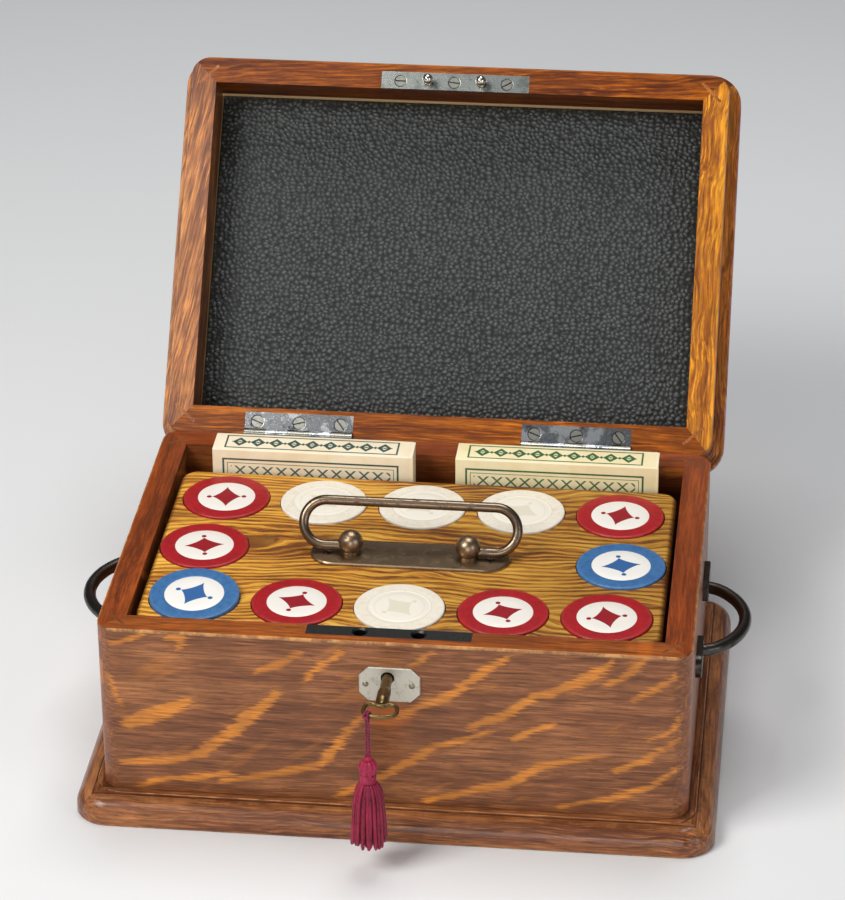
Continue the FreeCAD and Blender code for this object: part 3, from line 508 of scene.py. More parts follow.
        # painted light: a pale gold line low on the lid's inner walls where bounced light falls
        col = T.mix(T.mul(line, 0.85), col, srgb(250, 214, 160))
    if top:
        rim = T.mul(T.step(xyz[2], 93.1, 93.4), T.step(outside(T, xyz[0], xyz[1]), -0.2, -0.8))
        col = T.mix(rim, col, T.mix(1.0, col, top, "MULTIPLY"))
    h = T.add(T.mul(fine, 0.5), T.mul(pores, -0.45), T.mul(wobble, 0.8))
    if worn is not None:
        h = T.add(h, T.mul(worn, -0.6))
    T.set(Base_Color=col)
    T.set(Roughness=T.add(rough - 0.08, T.mul(fine, 0.16), T.mul(wobble, 0.10)))
    T.b.inputs["Specular IOR Level"].default_value = spec
    T.b.inputs["Coat Weight"].default_value = coat
    T.b.inputs["Coat Roughness"].default_value = 0.16
    T.b.inputs["Coat IOR"].default_value = 1.45
    T.set(Normal=T.bump(h, 0.4, 0.00025))
    return T.mat

def outside(T, x, y):
    """How far a point lies outside the walls' outer faces."""
    return T.vmax(T.math("SUBTRACT", T.math("ABSOLUTE", x), 128.0), T.math("SUBTRACT", T.math("ABSOLUTE", y), 91.1))

def case_wear(T, xyz):
    x, y, z = xyz
    return T.mul(T.step(z, 91.9, 92.7), T.step(outside(T, x, y), -1.3, -0.5)), None

def base_wear_and_highlight(T, xyz):
    # pale lines on the moulding's arrises, partly worn varnish and partly painted highlight; dark lines at the joint to
    # the case and at the quirk
    x, y, z = xyz
    o = outside(T, x, y)
    a = T.mul(T.step(o, 2.7, 3.2), T.step(o, 3.6, 3.4), T.step(z, 12.2, 12.5), 0.8)
    b = T.mul(T.step(z, 1.3, 0.5), T.step(o, 11.0, 11.6), 0.6)
    c = T.mul(T.step(o, 3.9, 4.6), T.step(o, 8.5, 6.0), 0.35)
    g = T.vmax(T.mul(T.step(o, 3.38, 3.45), T.step(o, 4.3, 3.9)), T.mul(T.step(o, 0.8, 0.1), T.step(z, 12.0, 12.6), 0.9))
    return T.vmax(a, b, c), g

def lid_wear_and_highlight(T, xyz):
    # pale lines on the lid's outer arris and rim edge, partly worn varnish and partly painted highlight
    x, y, z = xyz
    o = outside(T, x, y)
    low = T.mul(T.step(o, 4.2, 5.0), T.step(z, 118.0, 116.0), 0.7)
    rim = T.mul(T.step(o, -1.0, -0.3), T.step(z, 95.0, 94.0), 0.55)
    return T.vmax(low, rim), None

def lid_inner_painted_shading(T, xyz):
    # painted shade: the inner faces darken deeper into the lid; painted light: a pale gold line low on the walls by the
    # leather, strongest on the front rail
    x, y, z = xyz
    o = T.vmax(T.math("SUBTRACT", T.math("ABSOLUTE", x), 115.85), T.math("SUBTRACT", y, 77.4),
               T.math("SUBTRACT", T.mul(y, -1.0), 78.85))
    face = T.step(o, 0.12, 0.04)
    front = T.step(T.add(y, 78.6), 0.6, 0.0)
    line = T.add(T.mul(front, T.step(z, 114.2, 116.0)), T.mul(T.step(z, 116.4, 117.2), 0.4))
    return T.mul(face, T.step(z, 93.6, 97.5), 0.66), T.mul(face, T.math("MINIMUM", line, 1.0))

def case_inner_painted_shade(T, xyz):
    # painted shade: the inner faces darken towards the bottom of the case; no light line
    x, y, z = xyz
    o = T.vmax(T.math("SUBTRACT", T.math("ABSOLUTE", x), 115.85), T.math("SUBTRACT", y, 77.4),
               T.math("SUBTRACT", T.mul(y, -1.0), 78.85))
    face = T.step(o, 0.12, 0.04)
    return T.mul(face, T.step(z, 92.0, 80.0), 0.42), T.mul(face, 0.0)

MATS = {
    "case_front_wall": oak("oak_front", 0, 2, 1, dark=(106, 60, 38), mid=(134, 80, 52), light=(156, 98, 64),
                           fleck="drawn", fleck_col=(214, 130, 50), figure=0.35, edge_wear_and_highlight=case_wear, inner_painted_shading=case_inner_painted_shade, coat=0.2, gain=G["front"], top=(1.30, 0.86, 0.22), lines=0.75, pore=1.3),
    "case_back_wall": oak("oak_back", 0, 2, 1, dark=(104, 56, 32), mid=(134, 74, 42), light=(158, 94, 52),
                          fleck=(28, 0.58), fleck_col=(200, 120, 56), seed=3, figure=0.5, edge_wear_and_highlight=case_wear, inner_painted_shading=case_inner_painted_shade, gain=G["walls"], top=(0.96, 0.66, 0.26)),
    "case_left_wall": oak("oak_left", 1, 2, 0, dark=(104, 56, 32), mid=(134, 74, 42), light=(158, 94, 52),
                          fleck=(-30, 0.58), fleck_col=(200, 120, 56), seed=5, figure=0.5, edge_wear_and_highlight=case_wear, inner_painted_shading=case_inner_painted_shade, gain=G["walls"], top=(0.96, 0.66, 0.26)),
    "case_right_wall": oak("oak_right", 1, 2, 0, dark=(104, 56, 32), mid=(134, 74, 42), light=(158, 94, 52),
                           fleck=(26, 0.60), fleck_col=(200, 120, 56), seed=8, figure=0.5, edge_wear_and_highlight=case_wear, inner_painted_shading=case_inner_painted_shade, gain=G["walls"], top=(0.86, 0.54, 0.18)),
    "lid_front_rail": oak("oak_lid_front", 0, 1, 2, lid=True, seed=11, edge_wear_and_highlight=lid_wear_and_highlight, inner_painted_shading=lid_inner_painted_shading,
                          dark=(96, 42, 14), mid=(152, 86, 38), light=(206, 126, 58), figure=0.8, slant=0.06, gain=G["lid_front"], streak=1.2, lines=0.8, coat=0.06, spec=0.2),
    "lid_back_rail": oak("oak_lid_back", 0, 1, 2, lid=True, seed=14, edge_wear_and_highlight=lid_wear_and_highlight, inner_painted_shading=lid_inner_painted_shading,
                         dark=(108, 50, 20), mid=(152, 84, 38), light=(196, 118, 54), figure=0.5, gain=G["lid_back"], streak=1.2, lines=0.8, coat=0.06, spec=0.2),
    "lid_left_rail": oak("oak_lid_left", 1, 0, 2, lid=True, seed=17, edge_wear_and_highlight=lid_wear_and_highlight, inner_painted_shading=lid_inner_painted_shading, slant=0.16,
                         dark=(104, 52, 30), mid=(150, 88, 52), light=(208, 132, 70), figure=0.5, streak=1.3, gain=G["lid_left"], lines=0.8, fade=(1, -45.0, -88.0, (0.76, 0.66, 0.48))),
    "lid_right_rail": oak("oak_lid_right", 1, 0, 2, lid=True, seed=20, edge_wear_and_highlight=lid_wear_and_highlight, inner_painted_shading=lid_inner_painted_shading,
                          dark=(128, 66, 18), mid=(184, 112, 38), light=(232, 160, 62), figure=1.6, streak=1.4, gain=G["lid_right"], lines=0.7, worn_and_highlight_col=(236, 190, 236),
                          fade=(2, 95.5, 99.0, (0.74, 0.68, 1.7))),
    "lid_top_panel": oak("oak_lid_top", 0, 1, 2, lid=True, seed=24, dark=(100, 58, 36), mid=(130, 80, 50),
                         light=(158, 100, 62), fleck=(24, 0.56), fleck_col=(200, 122, 58), figure=0.5, gain=G["walls"]),
    "lid_corner_splines": oak("oak_lid_spline", 2, 0, 1, lid=True, seed=27, dark=(132, 70, 26), mid=(164, 94, 36),
                              light=(188, 116, 50), figure=0.3, pore=0.3),
    "case_corner_splines": oak("oak_case_spline", 2, 0, 1, seed=29, dark=(98, 50, 18), mid=(124, 68, 26),
                               light=(144, 84, 34), figure=0.3, pore=0.3),
    "base_mouldings": oak("oak_base", 0, 1, 2, seed=31, dark=(88, 46, 28), mid=(124, 74, 46), light=(162, 106, 68),
                          edge_wear_and_highlight=base_wear_and_highlight, figure=0.7, streak=1.3, rough=0.33, coat=0.4, gain=G["base"], worn_and_highlight_col=(206, 148, 98), lines=0.7, mitred=True),
    "bottom_panel": oak("oak_bottom", 0, 1, 2, seed=35, dark=(84, 50, 30), mid=(112, 70, 44), light=(140, 92, 60), coat=0.0, rough=0.6),
    "deck_riser": oak("oak_shelf", 0, 1, 2, seed=38, dark=(44, 24, 14), mid=(64, 36, 20), light=(86, 50, 28), coat=0.0, rough=0.6),
    "lid_lining_board": oak("oak_board", 0, 1, 2, lid=True, seed=40, dark=(60, 36, 22), mid=(84, 52, 32), light=(110, 70, 42), coat=0.0, rough=0.6),
    "rack_floor": oak("oak_rack_floor", 0, 1, 2, seed=43, dark=(80, 48, 24), mid=(120, 78, 40), light=(160, 110, 60), coat=0.0, rough=0.6),
}

def rack_oak():
    """Coarse open-grained oak: bright yellow-brown with dark wavy bands, closer together in places."""
    T = Tree("oak_rack")
    P = T.coords()
    x, y, z = T.sep(P)
    w1 = T.math("SUBTRACT", T.noise(T.comb(T.mul(x, 0.013), T.mul(y, 0.030), T.mul(z, 0.03)), 1.0, 1.5), 0.5)
    w2 = T.math("SUBTRACT", T.noise(T.comb(T.mul(x, 0.055), T.mul(y, 0.12), T.mul(z, 0.12)), 1.0, 2.0), 0.5)
    yy = T.add(y, T.mul(z, 0.55), T.mul(w1, 34.0), T.mul(w2, 3.4))
    band = T.math("SINE", T.mul(yy, 2 * math.pi / 3.7))
    fine = T.noise(T.comb(T.mul(x, 0.06), T.mul(yy, 1.5), 2.0), 1.0, 4.0, 0.68)
    dash = T.noise(T.comb(T.mul(x, 0.11), T.mul(yy, 2.6), 5.0), 1.0, 3.0, 0.65)
    where = T.noise(T.comb(T.mul(x, 0.012), T.mul(yy, 0.060), 7.0), 1.0, 2.0)
    depth = T.add(T.mul(band, 0.22), T.mul(T.math("SUBTRACT", fine, 0.5), 1.9), T.mul(T.math("SUBTRACT", where, 0.5), 1.5))
    C = lambda c, k=1.0: tuple(min(1.0, v * q * k) for v, q in zip(srgb(*c), G["rack"]))
    col = T.ramp(T.add(depth, 0.5), (0.05, C((212, 165, 70))), (0.40, C((190, 132, 40))), (0.62, C((156, 94, 26))), (0.85, C((104, 58, 16))))
    pores = T.mul(T.step(dash, 0.53, 0.64), T.step(depth, -0.25, 0.15))
    col = T.mix(T.mul(pores, 0.85), col, C((50, 28, 14)))
    glow = T.noise(T.scaled((x, y, z), (0.03, 0.05, 0.05)), 1.0, 2.0)
    col = T.mix(T.mul(T.step(glow, 0.5, 0.75), 0.30), col, C((214, 158, 60)))
    # painted light: brighter towards the left, darker towards the right
    painted_light_falloff = T.add(0.82, T.mul(T.step(x, 95.0, -100.0, smooth=False), 0.54))
    col = T.mix(1.0, col, painted_light_falloff, "MULTIPLY")
    # painted shade: darker at the rounded edges and lower down the sides
    edge = T.vmax(T.step(T.math("ABSOLUTE", T.math("SUBTRACT", x, 0.4)), 111.2, 113.4), T.step(y, 53.2, 55.4), T.step(z, 90.6, 84.0))
    col = T.mix(T.mul(edge, 0.75), col, C((72, 40, 18)))
    T.set(Base_Color=col)
    T.set(Roughness=T.add(0.36, T.mul(fine, 0.2)))
    T.b.inputs["Specular IOR Level"].default_value = 0.30
    T.b.inputs["Coat Weight"].default_value = 0.08
    T.b.inputs["Coat Roughness"].default_value = 0.3
    h = T.add(T.mul(pores, -1.0), T.mul(depth, -0.25))
    T.set(Normal=T.bump(h, 0.5, 0.00025))
    return T.mat

MATS["rack_block"] = rack_oak()

# ------------------------------------------------------------------ metals
def metal(name, base, tarnish_and_painted_reflection, rough, spots=0.35, scratch=0.4, lid=False, scale=0.35, marks=(), head=None, rv=1.0, thr=(0.50, 0.70), glints=0.0):
    """marks: (x, y, radius) of round things let into the plate, each with a dark ring of painted shade in its gap;
    head: (axis, level) of a slotted screw's face, its slot darkened as painted shade.
    """
    T = Tree(name)
    xyz = T.sep(T.coords(lid))
    cloud = T.noise(T.scaled(xyz, (scale,) * 3), 1.0, 5.0, 0.65)
    spot = T.noise(T.scaled(xyz, (scale * 4,) * 3), 1.0, 3.0, 0.6)
    line = T.noise(T.comb(T.mul(xyz[0], 0.25), T.mul(xyz[1], 5.0), T.mul(xyz[2], 5.0)), 1.0, 2.0, 0.6)
    m = T.math("ADD", T.mul(T.step(cloud, *thr), 0.75), T.mul(T.step(spot, 0.60, 0.72), 0.6), clamp=True)
    # the darker colour is tarnish; on the nickel leaf its broad bands are painted reflection
    col = T.mix(T.mul(m, spots), srgb(*base), srgb(*tarnish_and_painted_reflection))
    if glints:
        tiny = T.noise(T.scaled(xyz, (1.3, 1.3, 1.3)), 1.0, 2.0, 0.6)
        col = T.mix(T.mul(T.step(tiny, 0.56, 0.68), glints), col, srgb(236, 238, 238))
    h = T.add(T.mul(cloud, 0.6), T.mul(line, scratch * 0.5))
    if marks:
        near = None
        for mx, my, mr in marks:
            dx, dy = T.math("SUBTRACT", xyz[0], mx), T.math("SUBTRACT", xyz[1], my)
            d = T.math("SUBTRACT", T.math("SQRT", T.add(T.mul(dx, dx), T.mul(dy, dy))), mr)
            near = d if near is None else T.math("MINIMUM", near, d)
        # painted shade: a dark ring in the gap round each screw and stud
        ring = T.step(T.math("ABSOLUTE", T.math("SUBTRACT", near, 0.12)), 0.42, 0.12)
        col = T.mix(T.mul(ring, 0.85), col, srgb(52, 44, 36))
        h = T.add(h, T.mul(ring, -1.5))
    if head:
        k, level, s = head
        # painted shade: the slot below the screw's face is darkened
        deep = T.step(T.mul(T.math("SUBTRACT", xyz[k], level), s), 0.12, 0.3)
        col = T.mix(T.mul(deep, 0.9), col, srgb(34, 28, 24))
    T.set(Base_Color=col)
    T.b.inputs["Metallic"].default_value = 1.0
    T.set(Roughness=T.add(rough, T.mul(m, 0.48 * spots * rv), T.mul(line, 0.10 * scratch)))
    T.set(Normal=T.bump(h, 0.14, 0.0002))
    return T.mat

STRIKE_MARKS = [(-1.7 + d, -82.7, 2.5) for d in (-26.0, -0.4, 24.6)] + [(-1.7 + d, -82.7, 1.9) for d in (-12.6, 12.6)]
LEAF_MARKS = [(hx + d, 83.9, 2.7) for hx in (-65.1, 65.0) for d in (-19.6, 0.1, 19.6)]
# nickel leaf: broad bright and dark bands painted as reflection of the lamps in a slightly wavy leaf, with painted
# glints
NICKEL_LEAF = metal("nickel_leaf", (232, 234, 234), (58, 64, 72), 0.16, 0.95, lid=True, scale=0.055, marks=LEAF_MARKS, rv=0.1, thr=(0.47, 0.55), glints=0.5)
NICKEL_STRIKE = metal("nickel_strike", (164, 168, 164), (84, 90, 86), 0.25, 0.8, lid=True, scale=0.09, marks=STRIKE_MARKS, rv=0.15, thr=(0.46, 0.60), glints=0.15)
NICKEL = metal("nickel", (158, 156, 146), (72, 70, 62), 0.24, 0.7, scale=0.3, rv=0.3)
SCREW_LID = metal("nickel_screw_lid", (150, 150, 142), (74, 70, 62), 0.30, 0.6, lid=True, scale=0.5, head=(2, 93.7, 1.0), rv=0.4)
SCREW_CASE = metal("nickel_screw_case", (206, 202, 196), (110, 100, 88), 0.26, 0.5, scale=0.9, head=(2, 93.5, -1.0))
SATIN = metal("nickel_satin", (208, 204, 190), (156, 146, 124), 0.40, 0.6, 1.0, scale=0.35)
SATIN_PIN = metal("nickel_pin", (150, 140, 118), (84, 76, 60), 0.38, 0.6, scale=1.2)
LOCK = metal("lock_steel", (76, 76, 74), (30, 29, 28), 0.36, 0.7, 0.9)
IRON = metal("iron", (84, 78, 72), (42, 38, 34), 0.30, 0.7, 0.6, scale=0.12)
STEEL = metal("steel_aged", (150, 128, 102), (88, 68, 48), 0.32, 0.8, 0.6, scale=0.22, glints=0.12)
STEEL_ROD = metal("steel_rod", (128, 110, 92), (62, 48, 38), 0.26, 0.7, 0.6, scale=0.22)
SCREW_RACK = metal("steel_screw", (196, 188, 174), (84, 74, 62), 0.2, 0.5, scale=0.8, head=(2, 93.0, -1.0))
BRONZE = metal("key_bronze", (122, 102, 66), (60, 46, 26), 0.34, 0.8, 0.6, scale=0.5)
MATS.update({
    "hinge_lid_leaves": NICKEL_LEAF, "hinge_case_leaves": NICKEL, "hinge_pins": NICKEL, "strike_plate": NICKEL_STRIKE,
    "strike_studs": metal("stud_steel", (214, 208, 196), (90, 82, 72), 0.12, 0.3),
    "lid_screws": SCREW_LID, "case_screws": SCREW_CASE,
    "escutcheon": SATIN, "escutcheon_pins": SATIN_PIN, "lock_selvedge": LOCK, "lock_case": LOCK, "lock_bolt": LOCK,
    "side_handle_left": IRON, "side_handle_right": IRON, "side_handle_screws": IRON,
    "handle_plate": STEEL, "handle_posts": STEEL, "handle_bail": STEEL_ROD, "handle_screws": SCREW_RACK, "key": BRONZE,
})

# ------------------------------------------------------------------ mesh helpers
def mesh_object(name, verts, faces, mats, face_mat=None, smooth=True, uv=None):
    me = bpy.data.meshes.new(name)
    me.from_pydata([tuple(v) for v in verts], [], [tuple(f) for f in faces])
    for m in mats:
        me.materials.append(m)
    if face_mat is not None:
        me.polygons.foreach_set("material_index", np.asarray(face_mat, dtype=np.int32))
    me.polygons.foreach_set("use_smooth", np.full(len(me.polygons), smooth, dtype=bool))
    if uv is not None:
        lay = me.uv_layers.new(name="flat")
        idx = np.empty(len(me.loops), dtype=np.int32)
        me.loops.foreach_get("vertex_index", idx)
        lay.data.foreach_set("uv", np.asarray(uv, dtype=np.float32)[idx].ravel())
    me.update()
    ob = bpy.data.objects.new(name, me)
    bpy.context.scene.collection.objects.link(ob)
    return ob

class Build:
    """Collects rings and tubes into one mesh."""
    def __init__(self):
        self.v, self.f, self.m, self.uv, self.n = [], [], [], [], 0

    def add(self, v, f, m=0, uv=None):
        v = np.asarray(v, float)
        self.v.append(v)
        self.f += [tuple(int(i) + self.n for i in q) for q in f]
        self.m += list(m) if hasattr(m, "__len__") else [m] * len(f)
        self.uv.append(np.zeros((len(v), 2)) if uv is None else np.asarray(uv, float))
        self.n += len(v)

    def lathe(self, prof, centre, seg=48, m=0, wob=None, uvscale=None, uvrot=0.0):
        """prof: (radius, z) from the bottom centre to the top centre; radius 0 ends close it."""
        cx, cy = centre
        v, uv, rings = [], [], []
        for r, z in prof:
            if r < 1e-9:
                rings.append([len(v)])
                v.append((cx, cy, z)); uv.append((0, 0))
            else:
                base = len(v)
                for k in range(seg):
                    t = 2 * math.pi * k / seg
                    rr = r if wob is None else wob(r, t, z)
                    v.append((cx + rr * math.cos(t), cy + rr * math.sin(t), z))
                    if uvscale:
                        uv.append((r / uvscale * math.cos(t + uvrot), r / uvscale * math.sin(t + uvrot)))
                    else:
                        uv.append((0, 0))
                rings.append(list(range(base, base + seg)))
        f = []
        mm = []
        for i, (a, b) in enumerate(zip(rings, rings[1:])):
            mi = m[i] if hasattr(m, "__len__") else m
            for k in range(seg):
                k2 = (k + 1) % seg
                if len(a) == 1 and len(b) > 1:
                    f.append((a[0], b[k2], b[k]))
                elif len(b) == 1 and len(a) > 1:
                    f.append((a[k], a[k2], b[0]))
                elif len(a) > 1:
                    f.append((a[k], a[k2], b[k2], b[k]))
                else:
                    continue
                mm.append(mi)
        self.add(v, f, mm, uv)

    def tube(self, path, r, seg=8, m=0, caps=True):
        p = np.asarray(path, float)
        rr = np.full(len(p), r) if not hasattr(r, "__len__") else np.asarray(r, float)
        t = np.gradient(p, axis=0)
        t /= np.linalg.norm(t, axis=1)[:, None] + 1e-12
        up = np.array([0.0, 1.0, 0.0]) if abs(t[0][1]) < 0.8 else np.array([1.0, 0.0, 0.0])
        n = np.cross(t[0], up); n /= np.linalg.norm(n)
        v, f = [], []
        for i in range(len(p)):
            n = n - t[i] * np.dot(n, t[i]); n /= np.linalg.norm(n) + 1e-12
            b = np.cross(t[i], n)
            for k in range(seg):
                a = 2 * math.pi * k / seg
                v.append(p[i] + rr[i] * (math.cos(a) * n + math.sin(a) * b))
        for i in range(len(p) - 1):
            for k in range(seg):
                k2 = (k + 1) % seg
                f.append((i * seg + k, i * seg + k2, (i + 1) * seg + k2, (i + 1) * seg + k))
        if caps:
            f.append(tuple(range(seg - 1, -1, -1)))
            f.append(tuple((len(p) - 1) * seg + k for k in range(seg)))
        self.add(v, f, m)

    def make(self, name, mats, smooth=True, uv=False):
        return mesh_object(name, np.vstack(self.v) * MM, self.f, mats, self.m, smooth,
                           np.vstack(self.uv) if uv else None)

def recalc(ob):
    bm = bmesh.new()
    bm.from_mesh(ob.data)
    bmesh.ops.recalc_face_normals(bm, faces=bm.faces)
    bm.to_mesh(ob.data)
    bm.free()

# ------------------------------------------------------------------ silk: cord, knot, head, skirt
def silk(name, base=(150, 18, 72), deep=(84, 6, 38), ply=None, scale=1.0, lines=None):
    T = Tree(name)
    xyz = T.sep(T.coords())
    x, y, z = xyz
    n = T.noise(T.scaled(xyz, (2.2 * scale, 2.2 * scale, 0.5 * scale)), 1.0, 3.0, 0.6)
    col = T.mix(T.step(n, 0.35, 0.7), srgb(*deep), srgb(*base))
    tint = T.noise(T.scaled(xyz, (0.25, 0.25, 0.12)), 1.0, 2.0)
    col = T.mix(T.mul(T.step(tint, 0.45, 0.7), 0.4), col, srgb(182, 34, 80))
    h = n
    if ply:
        ang = T.math("ARCTAN2", T.math("SUBTRACT", y, ply[1]), T.math("SUBTRACT", x, ply[0]))
        w = T.math("SINE", T.add(T.mul(z, 2 * math.pi / ply[2]), T.mul(ang, 1.0)))
        h = T.add(T.mul(n, 0.4), T.mul(w, 0.8))
        # painted shade in the grooves between the plies
        col = T.mix(T.mul(T.step(w, 0.1, -0.9), 0.55), col, srgb(*deep))
    if lines:
        fib = T.noise(T.comb(T.mul(x, lines), T.mul(y, lines), T.mul(z, 0.25)), 1.0, 2.0, 0.6)
        h = T.add(T.mul(h, 0.5), fib)
        # painted shade in the hollows between the fibres
        col = T.mix(T.mul(T.step(fib, 0.5, 0.3), 0.6), col, srgb(*deep))
    T.set(Base_Color=col)
    T.set(Roughness=T.add(0.42, T.mul(n, 0.2)))
    T.b.inputs["Sheen Weight"].default_value = 0.4
    T.b.inputs["Sheen Roughness"].default_value = 0.35
    T.b.inputs["Sheen Tint"].default_value = (1.0, 0.40, 0.52, 1.0)
    T.b.inputs["Specular IOR Level"].default_value = 0.4
    T.set(Normal=T.bump(h, 0.5, 0.0002))
    return T.mat

rng = random.Random(4)
KX, KZ = -1.4, 76.9
KNOT = np.array([-6.3, -122.3997, 76.9])
TX, TY = -6.3, -123.0997
ROUTE = [(-0.56, 74.62), (-0.56, 55.9), (-1.2, 52.6), (-0.68, 51.3),
         (0.68, 51.3), (1.2, 52.6), (0.56, 55.9), (0.56, 74.62)]
cv = bpy.data.curves.new("tassel_cord_line", "CURVE")
cv.dimensions = "3D"
sp = cv.splines.new("NURBS")
sp.points.add(len(ROUTE) - 1)
for p, (x, z) in zip(sp.points, ROUTE):
    p.co = ((TX + x) * MM, TY * MM, z * MM, 1.0)
sp.order_u = 3
sp.use_endpoint_u = True
sp.resolution_u = 24
cv.bevel_depth = 0.47 * MM
cv.bevel_resolution = 5
cv.use_fill_caps = True
cv.materials.append(silk("silk_cord", ply=(TX - 0.56, TY, 1.5)))
cord = bpy.data.objects.new("tassel_silk_cord", cv)
bpy.context.scene.collection.objects.link(cord)

# knot: a lark's head of the doubled cord round the bow's wire
B = Build()
front_c = np.array([KX, -111.45, KZ])
rad = KNOT - front_c
tan = np.array([-rad[1], rad[0], 0.0]); tan /= np.linalg.norm(tan)
out = rad / np.linalg.norm(rad)
up = np.array([0, 0, 1.0])
for s, rr in ((-0.62, 0.52), (0.62, 0.50)):
    pts = []
    for k in range(33):
        t = 2 * math.pi * k / 32 + 0.6
        r0 = 0.9 + 0.12 + rr
        pts.append(KNOT + tan * (s + 0.16 * math.sin(t * 2 + s)) + r0 * (math.cos(t) * out + math.sin(t) * up))
    B.tube(pts, rr, 10, caps=False)
pts = []
for k in range(17):
    t = -0.9 + 1.8 * k / 16
    pts.append(KNOT + tan * (1.15 * math.sin(t) / math.sin(0.9)) + out * (1.75 + 0.15 * math.cos(t)) - up * (0.25 + 0.15 * abs(math.sin(t))))
B.tube(pts, 0.5, 10)
for s in (-0.56, 0.56):
    B.tube([KNOT + np.array([s * 0.9, -0.8, -0.9]), KNOT + np.array([s, -0.75, -1.4]), KNOT + np.array([s, -0.7, -1.9])], 0.47, 10)
knot = B.make("tassel_silk_knot", [silk("silk_knot", scale=1.4)])
recalc(knot)

# head: top knot, bundled threads over a core, and a wrapped band
B = Build()
HT, HB = 56.8, 43.6
B.lathe([(0, HT - 2.2), (1.2, HT - 2.1), (1.75, HT - 1.5), (1.85, HT - 0.9), (1.6, HT - 0.3), (1.1, HT + 0.05), (0, HT + 0.1)], (TX, TY), 24)
def bundle(r, t, z):
    f = 0.5 + 0.5 * math.cos(11 * t + 0.10 * (HT - z) + 1.3 * math.sin(2 * t))
    return r * (1.0 - 0.10 * (1 - f)) + 0.22 * f
prof = [(0, HT - 9.3), (2.9, HT - 9.2), (3.15, HT - 8.6), (3.45, HT - 7.6), (3.8, HT - 6.4), (3.95, HT - 5.1),
        (3.75, HT - 3.9), (3.2, HT - 2.8), (2.3, HT - 2.0), (1.2, HT - 1.6), (0, HT - 1.5)]
fine_prof = []
for (r0, z0), (r1, z1) in zip(prof, prof[1:]):
    for k in range(3):
        u = k / 3
        fine_prof.append((r0 + (r1 - r0) * u, z0 + (z1 - z0) * u))
fine_prof.append(prof[-1])
fine_prof[0] = (0, fine_prof[0][1])
B.lathe(fine_prof, (TX, TY), 132, wob=bundle)
for i, (z0, r) in enumerate(((HT - 8.9, 3.0), (HT - 10.0, 2.95), (HT - 11.1, 2.95), (HT - 12.1, 2.95))):
    pts = []
    for k in range(49):
        t = 2 * math.pi * k / 48
        pts.append((TX + r * math.cos(t), TY + r * math.sin(t), z0 + 0.25 * math.sin(t + i)))
    B.tube(pts, 0.58, 8, m=1, caps=False)
B.lathe([(0, HB - 0.6), (2.8, HB - 0.5), (2.9, HT - 9.0), (0, HT - 8.9)], (TX, TY), 36, m=1)
head = B.make("tassel_silk_head", [silk("silk_head", base=(186, 30, 74), deep=(120, 8, 40), lines=3.2), silk("silk_band", base=(198, 40, 84), scale=1.6)])

# skirt: many threads, fuller at the outside, uneven at the bottom
B = Build()
SB = 13.8
def thread(a0, ri, ro, z1, m, rt):
    top = HB + 0.9
    n = 26
    c = []
    sway, ph = rng.uniform(-0.35, 0.35), rng.uniform(0, 6.28)
    da = rng.uniform(-0.08, 0.08)
    for k in range(n):
        u = k / (n - 1)
        z = top + (z1 - top) * u
        w = 1 - math.exp(-9.0 * u)
        r = ri + (ro - ri) * (0.70 * w + 0.30 * u)
        a = a0 + da * u
        c.append((TX + r * math.cos(a) + 0.16 * math.sin(5 * u + ph) * u, TY + r * math.sin(a) + sway * u * 0.6, z))
    c = np.array(c)
    rad = np.full(n, rt)
    rad[0], rad[1], rad[-1] = rt * 0.55, rt * 0.85, rt * 0.7
    B.tube(c, rad, 7, m=m)
for i in range(24):
    a = 2 * math.pi * (i + rng.uniform(-0.25, 0.25)) / 24
    thread(a, 2.5, rng.uniform(6.7, 7.3), SB + rng.uniform(-0.2, 1.6), i % 2, 0.86)
for i in range(20):
    a = 2 * math.pi * (i + rng.uniform(-0.3, 0.3)) / 20
    thread(a, 1.9, rng.uniform(5.2, 6.0), SB + rng.uniform(-0.4, 1.4), (i + 1) % 2, 0.86)
for i in range(14):
    a = 2 * math.pi * (i + rng.uniform(-0.3, 0.3)) / 14
    thread(a, 1.0, rng.uniform(2.6, 4.0), SB + rng.uniform(-0.4, 1.0), i % 2, 0.9)
thread(4.9, 2.0, 3.4, SB - 1.9, 0, 0.45)
skirt = B.make("tassel_silk_skirt", [silk("silk_thread_a", base=(172, 18, 68), deep=(108, 6, 36), lines=2.4), silk("silk_thread_b", base=(152, 12, 58), deep=(84, 3, 28), lines=2.4)])
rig.replaces(cord, "tassel_cord")
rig.replaces(knot, "tassel_hitch")
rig.replaces(head, "tassel_head")
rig.replaces(skirt, "tassel_skirt")
for o in (cord, head, skirt):
    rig.ride(o, "tassel")
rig.ride(knot, "key")
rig.cord(cord, exit=((TX - 0.56) * MM, TY * MM, 74.62 * MM), length=0.0478, diameter=0.00094, far_end="object",
        stiffness="limp", lay="hanging", with_pieces=[head, skirt])
for o in (cord, knot, head, skirt):
    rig.slot(o, "silk")

